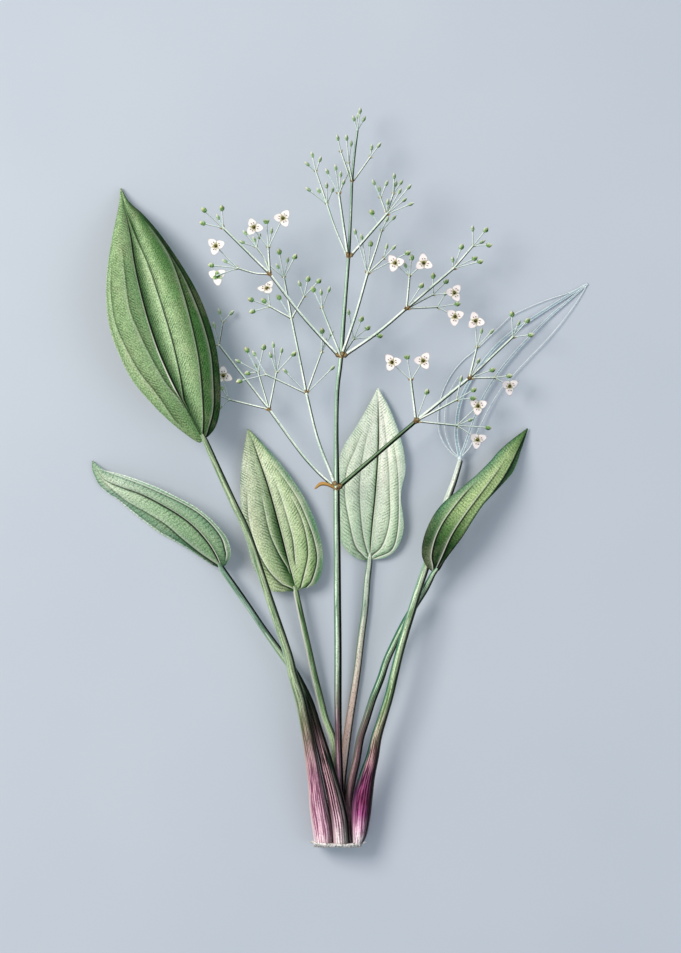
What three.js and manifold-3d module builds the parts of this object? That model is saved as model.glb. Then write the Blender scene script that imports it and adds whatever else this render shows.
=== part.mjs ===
// A water plantain (Alisma plantago-aquatica), cut off at its root crown and laid on its side.
// Millimetres. X runs across the plant, +Y from the cut crown to the top flower bud, and +Z up
// from the surface that the plant lies on. The origin is on that surface, under the middle.
import * as THREE from 'three';
import { mergeVertices } from 'three/addons/utils/BufferGeometryUtils.js';
import Module from 'manifold-3d';

const wasm = await Module();
wasm.setup();

// Driving dimensions
const GAP = 0.3; // room between two pieces that touch
const LEAF_THICKNESS = 1;
const PEDICEL_RADIUS = 0.4;
const PETAL_THICKNESS = 0.6;
const PETAL_REACH = 4.8;
const SEPAL_REACH = 3.3;
const NOTCH_REACH = 1.3; // to the notches between petals and sepals
const FLOWER_DEPTH = 1.8; // from the foot of a flower to the plane of its petals
const SEED_HEAD = 1.2; // from that plane to the top of its middle
const BUDS = {
  slim: { length: 3.4, radius: 1, sides: 3, belly: 0 },
  round: { length: 3.2, radius: 1.6, sides: 4, belly: 0 },
  open: { length: 2.8, radius: 2, sides: 4, belly: 0.35 },
};
const SIDES = { stem: 6, twig: 4, pedicel: 3 };
const TURN = 2.4; // radians from one of a row to the next, so that neighbours never line up

const LOOKS = {
  blade: { color: 0x6f9a58, roughness: 0.6 },
  paleBlade: { color: 0xb9cdb0, roughness: 0.6 },
  petiole: { color: 0x9fb68c, roughness: 0.5 },
  veins: { color: 0xc3d2cf, roughness: 0.6 },
  stem: { color: 0xb5c39a, roughness: 0.5 },
  twig: { color: 0x9db59c, roughness: 0.5 },
  flower: { color: 0xf6efef, roughness: 0.7 },
  crown: { color: 0xc9b79a, roughness: 0.9 },
};

// Leaves, the front ones first. A blade hangs between three lines from its base to its tip: its
// margins and its midrib. bow lifts the two halves between midrib and margin. A petiole's
// stations are [x, y, z, half width, half thickness], from its sheath at the crown to its blade.
const LEAVES = [
  {
    name: 'leaf_upper_left',
    left: [[-68, 19.5, 26], [-70.5, 17.5, 25.5], [-77.5, 22, 24.5], [-86, 29, 24], [-95, 38, 24],
      [-104, 49, 24.5], [-110.5, 62, 25], [-115, 75, 25], [-116.75, 89, 23.5],
      [-116.25, 104, 20], [-114, 120, 14.5], [-111, 135.5, 6.5], [-110, 145.5, 0.8]],
    mid: [[-68, 19.5, 26], [-72.5, 26.5, 26.6], [-79, 38, 27], [-85, 50, 27.5], [-91, 64, 27.5],
      [-96, 79, 26.5], [-100, 94, 24], [-103, 108, 20.5], [-105, 121.5, 15.5],
      [-108, 135.5, 7.5], [-110, 145.5, 0.8]],
    right: [[-68, 19.5, 26], [-65.5, 21, 24.5], [-62, 26, 22.5], [-60, 35, 21.5], [-60, 49, 21.5],
      [-61.5, 62.5, 22], [-64.5, 75, 22], [-69.5, 88.5, 21.5], [-75.5, 100, 20],
      [-83.5, 112.5, 17.5], [-91.5, 123.5, 14], [-99, 132, 9.5], [-106, 138.5, 5],
      [-110, 145.5, 0.8]],
    bow: [2.5, 4],
    petiole: [[-8.25, -183, 9.6, 4.7, 4.6], [-8.75, -176.5, 10.1, 5.1, 5], [-10.6, -166, 11.1, 4.7, 4.8],
      [-12.6, -151, 12.8, 3.7, 4], [-15, -136, 14.6, 3.1, 3.4], [-17.4, -123.5, 16, 2.95, 3],
      [-20, -111, 17.3, 2.8, 2.7], [-23.7, -98.5, 18.5, 2.5, 2.4], [-26.5, -87, 19.6, 2.2, 2.2],
      [-35.75, -59.5, 22, 2, 2], [-46, -28.5, 24.2, 1.9, 1.9], [-53.45, -12.3, 25, 1.8, 1.85],
      [-60.4, 2.8, 25.6, 1.7, 1.8], [-67, 17.5, 26, 1.5, 1.5], [-69, 21.5, 26.2, 1.2, 1.2]],
  },
  {
    name: 'leaf_lower_left',
    left: [[-59.5, -45, 8], [-62.5, -44.5, 6.5], [-67.5, -41.5, 4.5], [-75, -36.5, 2.8],
      [-82.5, -32, 1.6], [-90, -28, 1], [-97.5, -22.5, 0.7], [-105, -16.5, 0.7],
      [-111.5, -11, 0.8], [-116, -8, 1], [-120.5, -4, 1.2], [-123, 0.5, 1.3],
      [-124.25, 4.5, 1.2], [-124.25, 8.5, 1]],
    mid: [[-59.5, -45, 8], [-62, -39, 8.5], [-66, -32.5, 8.8], [-72.5, -25, 8.8], [-80, -19, 8.5],
      [-90, -13, 8], [-100, -8, 7], [-110, -4.5, 5.5], [-118, -1, 3.8], [-121.5, 3.5, 2.5],
      [-124.25, 8.5, 1]],
    right: [[-59.5, -45, 8], [-57, -43.5, 10], [-54.75, -39, 12.5], [-55, -34.5, 14],
      [-57, -29.5, 15], [-61, -24.5, 16], [-66, -19.5, 16.5], [-72.5, -14.5, 16.5],
      [-81, -10, 16], [-90, -5.5, 15], [-100, -1.5, 13], [-110, 1.75, 9.5], [-117.5, 3.5, 6],
      [-121, 5.75, 3.5], [-124.25, 8.5, 1]],
    bow: [1, 1.5],
    petiole: [[1, -183, 13, 4.2, 3.4], [0, -172, 13.2, 4.2, 3.5], [-2.25, -161, 13.1, 4.1, 3.4],
      [-4.75, -151, 12.3, 3.7, 3.1], [-8, -138.5, 11, 3.1, 2.7], [-11.5, -126, 9.8, 2.6, 2.4],
      [-15.25, -113.5, 8.6, 2.3, 2.2], [-19.5, -104, 7.8, 2.1, 2.1], [-24.25, -95.5, 7.2, 2, 2],
      [-30.25, -87.15, 6.9, 1.8, 1.95], [-38, -76.35, 6.7, 1.6, 1.8], [-45.35, -65.5, 6.9, 1.55, 1.75],
      [-52.65, -55.1, 7.3, 1.6, 1.75], [-58.5, -46.7, 7.9, 1.5, 1.5], [-60.3, -43.2, 8.2, 1.2, 1.2]],
  },
  {
    name: 'leaf_middle_left',
    left: [[-22, -57.5, 8], [-25, -57, 8], [-30, -57.5, 7.5], [-35, -56.5, 7], [-39.5, -52, 6.5],
      [-43.75, -44, 6], [-46.5, -33.5, 5.5], [-49, -22, 5.2], [-50, -11, 5], [-50, 0, 4.8],
      [-49, 10.5, 4.2], [-47.5, 18.5, 3.2], [-46.25, 24.5, 2.5]],
    mid: [[-22, -57.5, 8], [-23, -52.5, 7], [-25.5, -43.5, 4.5], [-28, -33.5, 2.4], [-31, -22, 1.2],
      [-34, -11, 0.8], [-37, -1, 0.8], [-40.5, 9, 1.2], [-43.5, 17.5, 1.8], [-46.25, 24.5, 2.5]],
    right: [[-22, -57.5, 8], [-20, -56, 8], [-16, -55, 8], [-12, -53, 7.8], [-9.5, -48, 7.5],
      [-8.5, -40, 7], [-10, -30, 6.5], [-13.5, -19.5, 6], [-18, -10, 5.6], [-23.5, -1.5, 5.2],
      [-30, 7, 4.6], [-37, 15, 3.8], [-42.5, 21, 3], [-46.25, 24.5, 2.5]],
    bow: [1.6, 1.6],
    petiole: [[-5.5, -183, 2.7, 2.8, 2.9], [-5, -171.5, 2.7, 2.8, 2.8], [-4.5, -161.5, 3, 2.6, 2.6],
      [-3.8, -151.5, 3.6, 2.3, 2.3], [-3.2, -141.5, 4.1, 2.2, 2.1], [-3.95, -131, 4.7, 2.1, 2.1],
      [-7.55, -121.05, 5.4, 1.95, 2], [-10.05, -111.1, 5.9, 1.9, 1.95], [-13.05, -98.7, 6.4, 1.75, 1.9],
      [-15.75, -86.2, 6.9, 1.65, 1.8], [-18.55, -73.7, 7.3, 1.55, 1.65], [-20.75, -63.55, 7.7, 1.45, 1.5],
      [-21.8, -58.8, 7.9, 1.4, 1.4], [-22.6, -54.5, 7.4, 1.1, 1.1]],
  },
  {
    name: 'leaf_centre',
    pale: true,
    left: [[15, -41, 2.4], [11.5, -41.5, 3], [7, -39.75, 3.6], [3, -36.5, 4], [0.25, -31.5, 4.4],
      [-1, -23.5, 4.8], [-1.5, -13.5, 5], [-1.75, -3, 5.2], [-1, 6.5, 5.2], [1.5, 15, 5],
      [5.5, 21.5, 4.6], [10.5, 29.5, 4], [15, 37.5, 3.4], [19, 45, 2.8]],
    mid: [[15, -41, 2.4], [15.5, -33.5, 1.6], [16.5, -22, 1], [17.75, -10, 0.7], [18.75, 3, 0.7],
      [19.5, 16.5, 0.9], [19.5, 29, 1.4], [19.25, 38, 2], [19, 45, 2.8]],
    right: [[15, -41, 2.4], [19, -41, 3], [23.5, -39.75, 3.4], [27.75, -36.5, 3.8],
      [30.5, -31.5, 4.2], [32, -25.5, 4.6], [31.5, -18, 5.4], [30.5, -11, 6], [31, -5, 5.6],
      [32.75, 2.5, 4.8], [32.5, 10, 4.6], [30.75, 18.5, 4.6], [28, 27, 4.2], [24, 36.5, 3.6],
      [19, 45, 2.8]],
    bow: [1.2, 1.2],
    petiole: [[0, -183, 2.5, 2.1, 2.6], [0.2, -171.5, 2.5, 2.1, 2.6], [0.5, -161.5, 2.4, 2.1, 2.4],
      [1, -151.5, 2.3, 2, 2.2], [2.25, -141, 2.3, 2, 2.1], [3.5, -131, 2.3, 2, 2],
      [4.9, -121, 2.3, 1.95, 1.95], [6.5, -111, 2.2, 1.9, 1.9], [8.75, -96.05, 2.2, 1.85, 1.85],
      [10.5, -81, 2.2, 1.8, 1.8], [12.5, -66, 2.2, 1.7, 1.7], [13.75, -51, 2.3, 1.6, 1.6],
      [14.8, -42.8, 2.4, 1.4, 1.4], [15.2, -38, 2.1, 1.1, 1.1]],
  },
  {
    name: 'leaf_right',
    left: [[47, -47.5, 14.5], [45.5, -46.5, 14.5], [42.75, -43.5, 15], [41, -38.5, 15.6],
      [41.5, -32, 16], [44, -24.5, 16], [47.5, -18, 15.6], [52, -12.5, 15], [57.5, -8, 14.2],
      [63.5, -3, 13], [69.5, 2.25, 11.5], [75, 7.75, 9.6], [80.5, 14, 7], [87, 19.5, 4],
      [94.25, 24.75, 1]],
    mid: [[47, -47.5, 14.5], [50.5, -43.5, 15.5], [55, -37.5, 17], [61, -29.5, 18.2],
      [66, -21.5, 18.4], [71, -14, 17.6], [76, -8, 16], [80.5, -2, 13.6], [84.5, 4.5, 10.6],
      [88, 11.5, 7], [91.25, 18.5, 3.6], [94.25, 24.75, 1]],
    right: [[47, -47.5, 14.5], [49.5, -46.5, 14], [51.5, -43, 12.5], [54.5, -37, 11.5],
      [59, -30, 11], [64.5, -22, 10.6], [70.5, -14.5, 10], [77, -7.75, 9], [82, -2.5, 7.6],
      [86, 2, 6], [88.5, 7, 4.4], [90.5, 13, 3], [92.5, 19, 1.8], [94.25, 24.75, 1]],
    bow: [1.5, 0],
    petiole: [[5.5, -183, 2.6, 2.7, 2.8], [5.3, -171.5, 2.6, 2.7, 2.8], [4.6, -161, 3, 2.1, 2.4],
      [6, -151.5, 4, 2.2, 2.2], [8.25, -141.5, 5, 2.1, 2.1], [10.15, -130.75, 5.8, 2, 2],
      [13.3, -120.8, 6.5, 1.95, 1.95], [16.45, -110.9, 7.1, 1.9, 1.9], [20.3, -101.1, 7.6, 1.9, 1.9],
      [23.25, -92, 8, 1.85, 1.85], [27.5, -82.5, 8.4, 1.8, 1.8], [32.25, -73, 8.8, 1.8, 1.8],
      [37.5, -64, 9.2, 1.75, 1.75], [42, -57, 9.9, 1.7, 1.7], [44.6, -52.2, 12, 1.6, 1.6],
      [46.4, -48.6, 14.1, 1.4, 1.4], [48.6, -45.6, 15, 1.1, 1.1]],
  },
];

// The leaf on the far right has lost its tissue: its margins, its veins and its petiole are left
const VEIN_LEAF = {
  name: 'leaf_far_right',
  lines: [
    { radius: 0.5, points: [[60.25, 9.5, 5], [57.5, 11, 4.4], [53.5, 15, 3.2], [50.5, 20.5, 2],
      [49.25, 27, 1.2], [49.75, 36, 0.7], [52, 44, 0.6], [56.5, 52.5, 0.6], [62, 59, 0.7],
      [68, 64, 0.8], [80, 75.5, 1], [86, 81, 1.1], [95, 85.5, 1.1], [105, 89.5, 1],
      [115, 92.75, 0.8], [124.25, 97.25, 0.6]] },
    { radius: 0.5, points: [[60.25, 9.5, 5], [65, 15, 4], [68, 21, 3.2], [71.5, 28.5, 2.6],
      [75.5, 36, 2.2], [80.5, 44, 2], [87, 51.5, 1.8], [95, 60, 1.6], [103.5, 68.75, 1.4],
      [111, 77.5, 1.2], [117, 85.5, 1], [121, 91.5, 0.8], [124.25, 97.25, 0.6]] },
    { radius: 0.8, points: [[60.25, 9.5, 5], [58.5, 19, 3.4], [58.5, 26.5, 2.6], [60, 36.5, 2],
      [64, 46.5, 1.8], [71, 57, 1.7], [78.5, 66, 1.6], [86.5, 73, 1.5], [97.5, 80.5, 1.4],
      [110, 88.5, 1.1], [124.25, 97.25, 0.6]] },
    { radius: 0.5, points: [[60.25, 9.5, 5], [56, 14, 4], [53.25, 21, 2.6], [52.5, 29, 1.9],
      [53.5, 38, 1.5], [56, 45, 1.4], [59.5, 50.5, 1.3]] },
    { radius: 0.5, points: [[60.25, 9.5, 5], [63.5, 18.5, 4], [66.5, 27, 3.2], [70, 36.5, 2.6],
      [74.5, 45, 2.3], [80.5, 54, 2], [88, 63, 1.8], [96, 71.5, 1.6], [105, 80.5, 1.4],
      [116, 90, 1], [124.25, 97.25, 0.6]] },
  ],
  petiole: [[8.75, -183, 9.7, 2.7, 4.2], [9.75, -177.5, 10.1, 4, 4.9], [10.5, -168.5, 10.9, 4.8, 5],
    [11.5, -159.5, 12, 4.8, 4.6], [13.5, -149.5, 13.1, 4, 3.9], [16.25, -139.5, 14, 3.2, 3.2],
    [18.25, -129.8, 14.8, 2.7, 2.7], [21.3, -119.95, 15.4, 2.4, 2.4], [24.45, -109.65, 16, 2.25, 2.25],
    [27.15, -98.2, 16.3, 2.2, 2.2], [29.8, -87.2, 16.5, 2.15, 2.15], [32.95, -76.2, 16.2, 2.1, 2.1],
    [36.55, -64.7, 15.2, 2.05, 2.05], [40, -53.5, 13.2, 1.95, 1.95], [43.75, -42.5, 11, 1.9, 1.9],
    [48, -28.5, 9.2, 1.85, 1.85], [52.9, -13.6, 7.6, 1.75, 1.8], [57.25, -1.75, 6.3, 1.55, 1.75],
    [60.35, 8.45, 5.1, 1.3, 1.5]],
};

// The flower stem's stations are [x, y, z, radius]. Branches leave it at whorls.
const FLOWER_STEM = [[0.5, -183, 7.3, 1.75], [0.3, -161, 7.6, 1.75], [-0.25, -146, 8.1, 1.75],
  [-0.75, -131, 9.2, 1.75], [-1, -111, 11, 1.85], [-1, -86, 13.3, 1.85], [-1.25, -61, 15.8, 1.85],
  [-1.5, -31, 19, 1.75], [-1.75, -5.5, 22, 1.6], [-1.9, 24, 23.8, 1.2], [-1.35, 44, 24.7, 1.15],
  [0.5, 60.25, 25, 1.15], [2.6, 89, 25, 1], [4.25, 110, 24.5, 0.9], [5.4, 131.5, 23, 0.7],
  [6, 148, 22, 0.7], [7.25, 161.5, 20.8, 0.6], [8.75, 173.5, 19.5, 0.55]];
const WHORLS = [
  { at: [-1.75, -5.5, 22], radius: 2.8 },
  { at: [0.5, 60.25, 25], radius: 2.5 },
  { at: [4.25, 110, 24.5], radius: 2 },
  { at: [6, 148, 22], radius: 1.4 },
];
const LONG_BRACT = [[-2.5, -5.5, 21.5, 0.8, 0.5], [-6, -3.6, 21.8, 1.1, 0.4],
  [-9.5, -3.2, 21.4, 1.3, 0.4], [-12.6, -5.6, 20.4, 0.5, 0.3]];

// What a branch bears. A bud without a height of its own rises or sinks round its fork.
const slim = (x, y, z) => ({ kind: 'slim', at: [x, y, z] });
const round = (x, y, z) => ({ kind: 'round', at: [x, y, z] });
const open = (x, y, z) => ({ kind: 'open', at: [x, y, z] });
// A flower's turn is the direction of one petal in degrees. lean is the part of the way that it
// faces that lies along X and Y, and back is for one that faces down.
const flower = (name, at, turn, lean, back) => ({ kind: 'flower', name, at, turn, lean, back });
const fork = (at, radius, bears, via = []) => ({ kind: 'fork', at, radius, bears, via });
// A fork with a name is a piece of its own
const named = (name, item) => ({ ...item, name });

const TIP_BUDS = fork([8.75, 173.5, 19.5], 0.5, [slim(6.85, 179.5), slim(12, 179.5),
  slim(9, 180.9), slim(10, 183.4)]);

const BRANCHES = [
  { from: [-2.9, -4.7, 20.6], ...named('branch_1_left', fork([-35.5, 34.1, 14], 0.75, [
    fork([-60.75, 66.5, 7], 0.5, [
      fork([-58.75, 78, 5], 0.4, [slim(-60.5, 83.25), slim(-54.25, 82.75)]),
      slim(-63.25, 76.5),
    ]),
    fork([-41, 52.75, 10], 0.4, [
      round(-46.75, 64), slim(-42.5, 56), round(-38.25, 65.5), slim(-51.25, 58.25),
      round(-46.5, 52.25),
    ]),
    named('twig_1_left_outer', fork([-55.5, 39, 10], 0.45, [
      flower('flower_1_left', [-58.5, 51, 12.5], 95, [0.15, 0.1]),
      slim(-59.5, 45), slim(-63, 42), slim(-60.5, 34.5),
    ])),
    named('twig_1_left_inner', fork([-31.75, 52.5, 15.5], 0.45, [
      slim(-34.75, 61.25), slim(-33.5, 66.5), slim(-29.25, 63.75), round(-23, 62),
    ])),
  ], [[-12, 3.6, 19.1], [-20.7, 13.7, 17.3]])) },
  { from: [-2.3, -3.6, 23.6], ...named('branch_1_back', fork([-16.75, 42, 19.5], 0.7, [
    slim(-27.5, 53.25),
    slim(-3.6, 55),
    fork([-9.25, 62.5, 17.5], 0.45, [round(-9, 73.5), slim(-7.5, 68.5), slim(-4.25, 72.25)]),
    named('twig_1_back_upper', fork([-24.25, 79.5, 18], 0.6, [
      fork([-35, 85.5, 17.5], 0.45, [
        round(-44.75, 89), round(-44, 83), round(-38.25, 88.5),
        flower('flower_1_back', [-36.5, 94.5, 20], 60, [-0.25, 0.65]),
      ]),
      round(-30.75, 90.25),
      fork([-28, 100, 18.5], 0.5, [
        round(-30.5, 113), slim(-31.25, 105.75), slim(-26.25, 109), round(-22.5, 110.5),
        slim(-36.5, 107.25),
      ]),
      fork([-18, 90.5, 18.5], 0.45, [slim(-20.25, 97), round(-16, 99.5), round(-10.5, 98.5)]),
    ], [[-20.25, 60, 18.5]])),
    named('twig_1_back_lower', fork([-37, 51.5, 20], 0.4, [round(-50.5, 48), slim(-43, 62)])),
  ], [[-11, 19, 22]])) },
  { from: [-0.6, -4.7, 22.4], ...named('branch_1_right', fork([38, 28.25, 20], 1, [
    round(43.5, 43),
    fork([64.75, 49.75, 16], 0.8, [
      slim(69.25, 58.5), round(76.5, 54),
      fork([77.5, 50, 13.5], 0.45, [
        round(85, 51),
        flower('flower_1_right_tip', [84.75, 45.75, 16], 30, [0.4, -0.3]),
      ]),
      fork([86.5, 70.25, 12.5], 0.6, [
        round(86, 82), slim(89.5, 77.5), round(94, 78.75), round(95.75, 71.5),
      ]),
      named('twig_1_right_outer', fork([68.5, 65, 18], 0.5, [
        flower('flower_1_right_outer', [67.75, 78.25, 20], 106, [0.1, 0.1]),
        slim(70.75, 73.5), slim(76, 73.25),
      ])),
    ]),
    named('twig_1_right_upper', fork([35.5, 48.5, 23], 0.6, [
      flower('flower_1_right_a', [26, 57.5, 25.5], 128, [-0.1, 0.15]),
      open(33.5, 60.5),
      flower('flower_1_right_b', [41.5, 58.25, 25.5], 57, [0.1, 0.15]),
    ])),
    named('twig_1_right_middle', fork([58.25, 38.75, 21], 0.5, [
      slim(60.5, 49.5), round(66.75, 39.75), round(67, 44),
    ])),
    named('twig_1_right_lower', fork([58.5, 26, 14.5], 0.5, [
      flower('flower_1_right_c', [69, 35.75, 17], 143, [0.1, 0.1]),
      slim(65.5, 29), round(74.5, 25),
      flower('flower_1_right_d', [68.75, 19, 17], 20, [0.25, -0.35]),
    ])),
  ])) },
  { from: [-0.7, 60.7, 24.4], ...named('branch_2_left', fork([-35, 101.5, 29], 0.75, [
    fork([-58.25, 124.5, 29.5], 0.6, [
      round(-68, 133.5), round(-68.75, 127), slim(-61, 130), round(-59, 134.5),
    ]),
    named('twig_2_left_outer', fork([-51, 104.5, 29], 0.5, [
      flower('flower_2_left_a', [-62, 115.5, 32], 138, [-0.1, 0.1]),
      slim(-57.5, 108), round(-64.5, 106),
      flower('flower_2_left_b', [-61.25, 100.5, 32], 55, [0.1, -0.1], true),
    ], [[-42.5, 102, 28.5]])),
    named('twig_2_left_upper', fork([-35.75, 114.5, 31.5], 0.5, [
      flower('flower_2_left_c', [-43, 124.75, 35], 112, [0.1, 0.1]),
      open(-36.75, 128), slim(-34.25, 123.25),
      flower('flower_2_left_d', [-28.5, 129.25, 35], 55, [0.1, 0.1]),
    ])),
    named('twig_2_left_inner', fork([-41.75, 115, 26], 0.4, [
      slim(-49, 117.5), slim(-47.5, 122.25), slim(-43, 119), slim(-40.25, 120.5),
    ], [[-37.5, 109, 26.5]])),
  ], [[-18.6, 80.4, 26.7]])) },
  { from: [0.1, 61.3, 26.2], ...named('branch_2_small_left', fork([-9, 84.5, 28], 0.45, [
    slim(-9.5, 92.5), round(-13.5, 94), slim(-5.5, 94),
  ])) },
  { from: [1.3, 61, 23.8], ...named('branch_2_small_right', fork([6.75, 69.25, 19], 0.45, [
    slim(4.25, 82.75, 20), round(10.75, 79.5), round(14, 75), round(20.25, 71, 17),
  ])) },
  { from: [0.9, 61.1, 26], ...named('branch_2_upright', fork([13.75, 101.75, 26.5], 0.7, [
    slim(7.5, 122.75), slim(10.75, 120.25), round(15.25, 117),
    fork([20.75, 123.25, 25], 0.5, [round(15.75, 132.5), slim(23.5, 129.25), slim(27, 130)],
      [[18, 114, 26]]),
    fork([21.75, 109.25, 27], 0.4, [slim(27, 115), slim(23.25, 115.5)]),
    round(34, 112.25),
  ], [[7.5, 80, 26.8]])) },
  { from: [1.9, 60.7, 25.2], ...named('branch_2_right', fork([33.25, 84.5, 24.5], 0.8, [
    round(40.75, 96),
    fork([56.75, 104.5, 22.5], 0.65, [
      slim(56.25, 109), round(60.75, 115.5), round(67.5, 109.75), round(70.25, 108),
      fork([66.5, 115.75, 20.5], 0.5, [
        slim(66.25, 124.5), round(73, 124), slim(71.25, 118), round(74.75, 116.25),
      ]),
    ]),
    named('twig_2_right_upper', fork([34.75, 100.5, 29], 0.5, [
      flower('flower_2_right_a', [27.5, 107, 32.5], 130, [-0.1, 0.1]),
      slim(32.5, 106), round(35.75, 110),
      flower('flower_2_right_b', [41.75, 107, 32], 95, [0.1, 0.1]),
    ])),
    named('twig_2_right_middle', fork([46.5, 91.5, 19], 0.45, [
      round(46.5, 101), round(53.25, 98.25),
      flower('flower_2_right_c', [57, 92.25, 24.5], 175, [0.35, 0.1]),
    ])),
    named('twig_2_right_lower', fork([48.75, 85.25, 16], 0.45, [
      slim(53, 92.5), round(59, 87),
      flower('flower_2_right_d', [57.5, 80.5, 19.5], 143, [0.05, -0.1]),
    ])),
  ], [[19, 72.5, 25]])) },
  { from: [3.4, 110.6, 23.6], ...named('branch_3_left', fork([-6.5, 136.75, 20], 0.45, [
    slim(-16, 144), slim(-10.75, 143.5),
    fork([-12, 153, 19.5], 0.4, [slim(-16.5, 156.75), slim(-14, 161.5), slim(-10, 159.25)]),
    slim(-6.75, 146), slim(-3.75, 144),
  ], [[-2.5, 125, 21.8]])) },
  { from: [3.9, 110.8, 26.1], ...named('branch_3_middle', fork([-0.5, 141.5, 28.5], 0.6, [
    slim(-6.5, 152.75), slim(-2.25, 154.75), slim(0.25, 151.5), slim(1.75, 147.5),
    slim(4.4, 153, 19.5),
  ])) },
  { from: [5.2, 110.6, 25], ...named('branch_3_right', fork([23.25, 131.25, 31], 0.65, [
    fork([20.25, 139.5, 31], 0.4, [slim(16.75, 147.25), slim(19.5, 144.25), slim(23.25, 147)]),
    fork([26.5, 141.5, 29], 0.4, [slim(27, 150.5), slim(27.75, 146.75), slim(30.5, 147.5)]),
    slim(29.75, 143), slim(34.5, 145), slim(32.25, 138.75), slim(35.5, 136.5),
    slim(23.75, 137.5),
  ])) },
  { from: [5.3, 148.4, 21.6], ...named('branch_4_left', fork([0.5, 162.75, 23], 0.4, [
    slim(-1.25, 169.75),
  ])) },
  { from: [6, 148.6, 23], ...named('branch_4_middle', fork([4.3, 157, 25], 0.4, [
    slim(3.25, 169.75), slim(5.5, 167),
  ])) },
  { from: [6.7, 148.3, 21.7], ...named('branch_4_right', fork([15, 160, 19], 0.4, [
    slim(19.5, 166.25), slim(15.75, 165.25),
  ])) },
];

// The crown is a slab across the feet of the sheaths, with the stubs of trimmed roots along it
const CROWN = [[-13.6, -182.8, 9.6, 0.7, 3.6], [-11, -183.4, 9.2, 0.9, 6.4],
  [-6, -183.9, 8.8, 1, 9.1], [0, -184.1, 8.8, 1, 9.5], [5, -184, 8.8, 1, 9.1],
  [9, -183.5, 9.1, 0.9, 6.2], [11.4, -183, 9.6, 0.7, 3.4]];
const ROOTS = { count: 8, radius: 0.7, tipRadius: 0.5, length: 2.1, firstX: -12, lastX: 10,
  middleY: -183.6, endRise: 0.9, middleZ: 9, spread: 6 };

// Manifold solids from three.js geometry, and back
function solidOf(geometry) {
  const bare = new THREE.BufferGeometry();
  bare.setAttribute('position', geometry.getAttribute('position'));
  if (geometry.index) bare.setIndex(geometry.index);
  const merged = mergeVertices(bare, 1e-4);
  return new wasm.Manifold(new wasm.Mesh({
    numProp: 3,
    vertProperties: merged.attributes.position.array,
    triVerts: new Uint32Array(merged.index.array),
  }));
}

function geometryOf(solid) {
  const { vertProperties, triVerts } = solid.getMesh();
  const geometry = new THREE.BufferGeometry();
  geometry.setAttribute('position', new THREE.BufferAttribute(vertProperties, 3));
  geometry.setIndex(new THREE.BufferAttribute(triVerts, 1));
  geometry.computeVertexNormals();
  return geometry;
}

const join = (solids) => wasm.Manifold.union(solids);

const UP = new THREE.Vector3(0, 0, 1);

const vector = (point) => new THREE.Vector3(point[0], point[1], point[2]);

const curveThrough = (points) => (
  new THREE.CatmullRomCurve3(points.map(vector), false, 'catmullrom', 0.5));

// A closed skin over rings of points. An end is a fan round its own point, if that is given, and
// otherwise a flat cap.
function loft(rings, startPoint, endPoint) {
  const count = rings[0].length;
  const points = rings.flat();
  const faces = [];
  for (let i = 0; i + 1 < rings.length; i++) {
    for (let j = 0; j < count; j++) {
      const a = i * count + j;
      const b = i * count + ((j + 1) % count);
      faces.push(a, b, b + count, a, b + count, a + count);
    }
  }
  const cap = (first, peak, turn) => {
    if (peak) points.push(peak);
    for (let j = peak ? 0 : 1; j < (peak ? count : count - 1); j++) {
      const pair = [first + j, first + ((j + 1) % count)];
      faces.push(peak ? points.length - 1 : first, ...(turn ? pair.reverse() : pair));
    }
  };
  cap(0, startPoint, true);
  cap((rings.length - 1) * count, endPoint, false);
  const geometry = new THREE.BufferGeometry().setFromPoints(points);
  geometry.setIndex(faces);
  return geometry;
}

// A stem through stations [x, y, z, half width, half thickness], swollen by extra all round, and
// brought to a point at tip if one is given. The half width is level with the surface below, and
// a missing half thickness equals it.
function stem(stations, sides, extra = 0, tip = undefined) {
  const centres = stations.map(vector);
  const last = stations.length - 1;
  const flatDown = sides % 4 === 0 ? 0.5 : 0;
  const rings = stations.map(([, , , halfWidth, halfThickness = halfWidth], i) => {
    const along = centres[Math.min(i + 1, last)].clone().sub(centres[Math.max(i - 1, 0)]).normalize();
    const across = new THREE.Vector3().crossVectors(along, UP).normalize();
    const up = new THREE.Vector3().crossVectors(across, along);
    const outward = (i === last ? 1 : 0) - (i === 0 ? 1 : 0);
    const centre = centres[i].clone().addScaledVector(along, outward * extra);
    return Array.from({ length: sides }, (_, j) => {
      const angle = (-(j + flatDown) / sides) * 2 * Math.PI;
      return centre.clone()
        .addScaledVector(across, Math.cos(angle) * (halfWidth + extra))
        .addScaledVector(up, Math.sin(angle) * (halfThickness + extra));
    });
  });
  return solidOf(loft(rings, undefined, tip));
}

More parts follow.
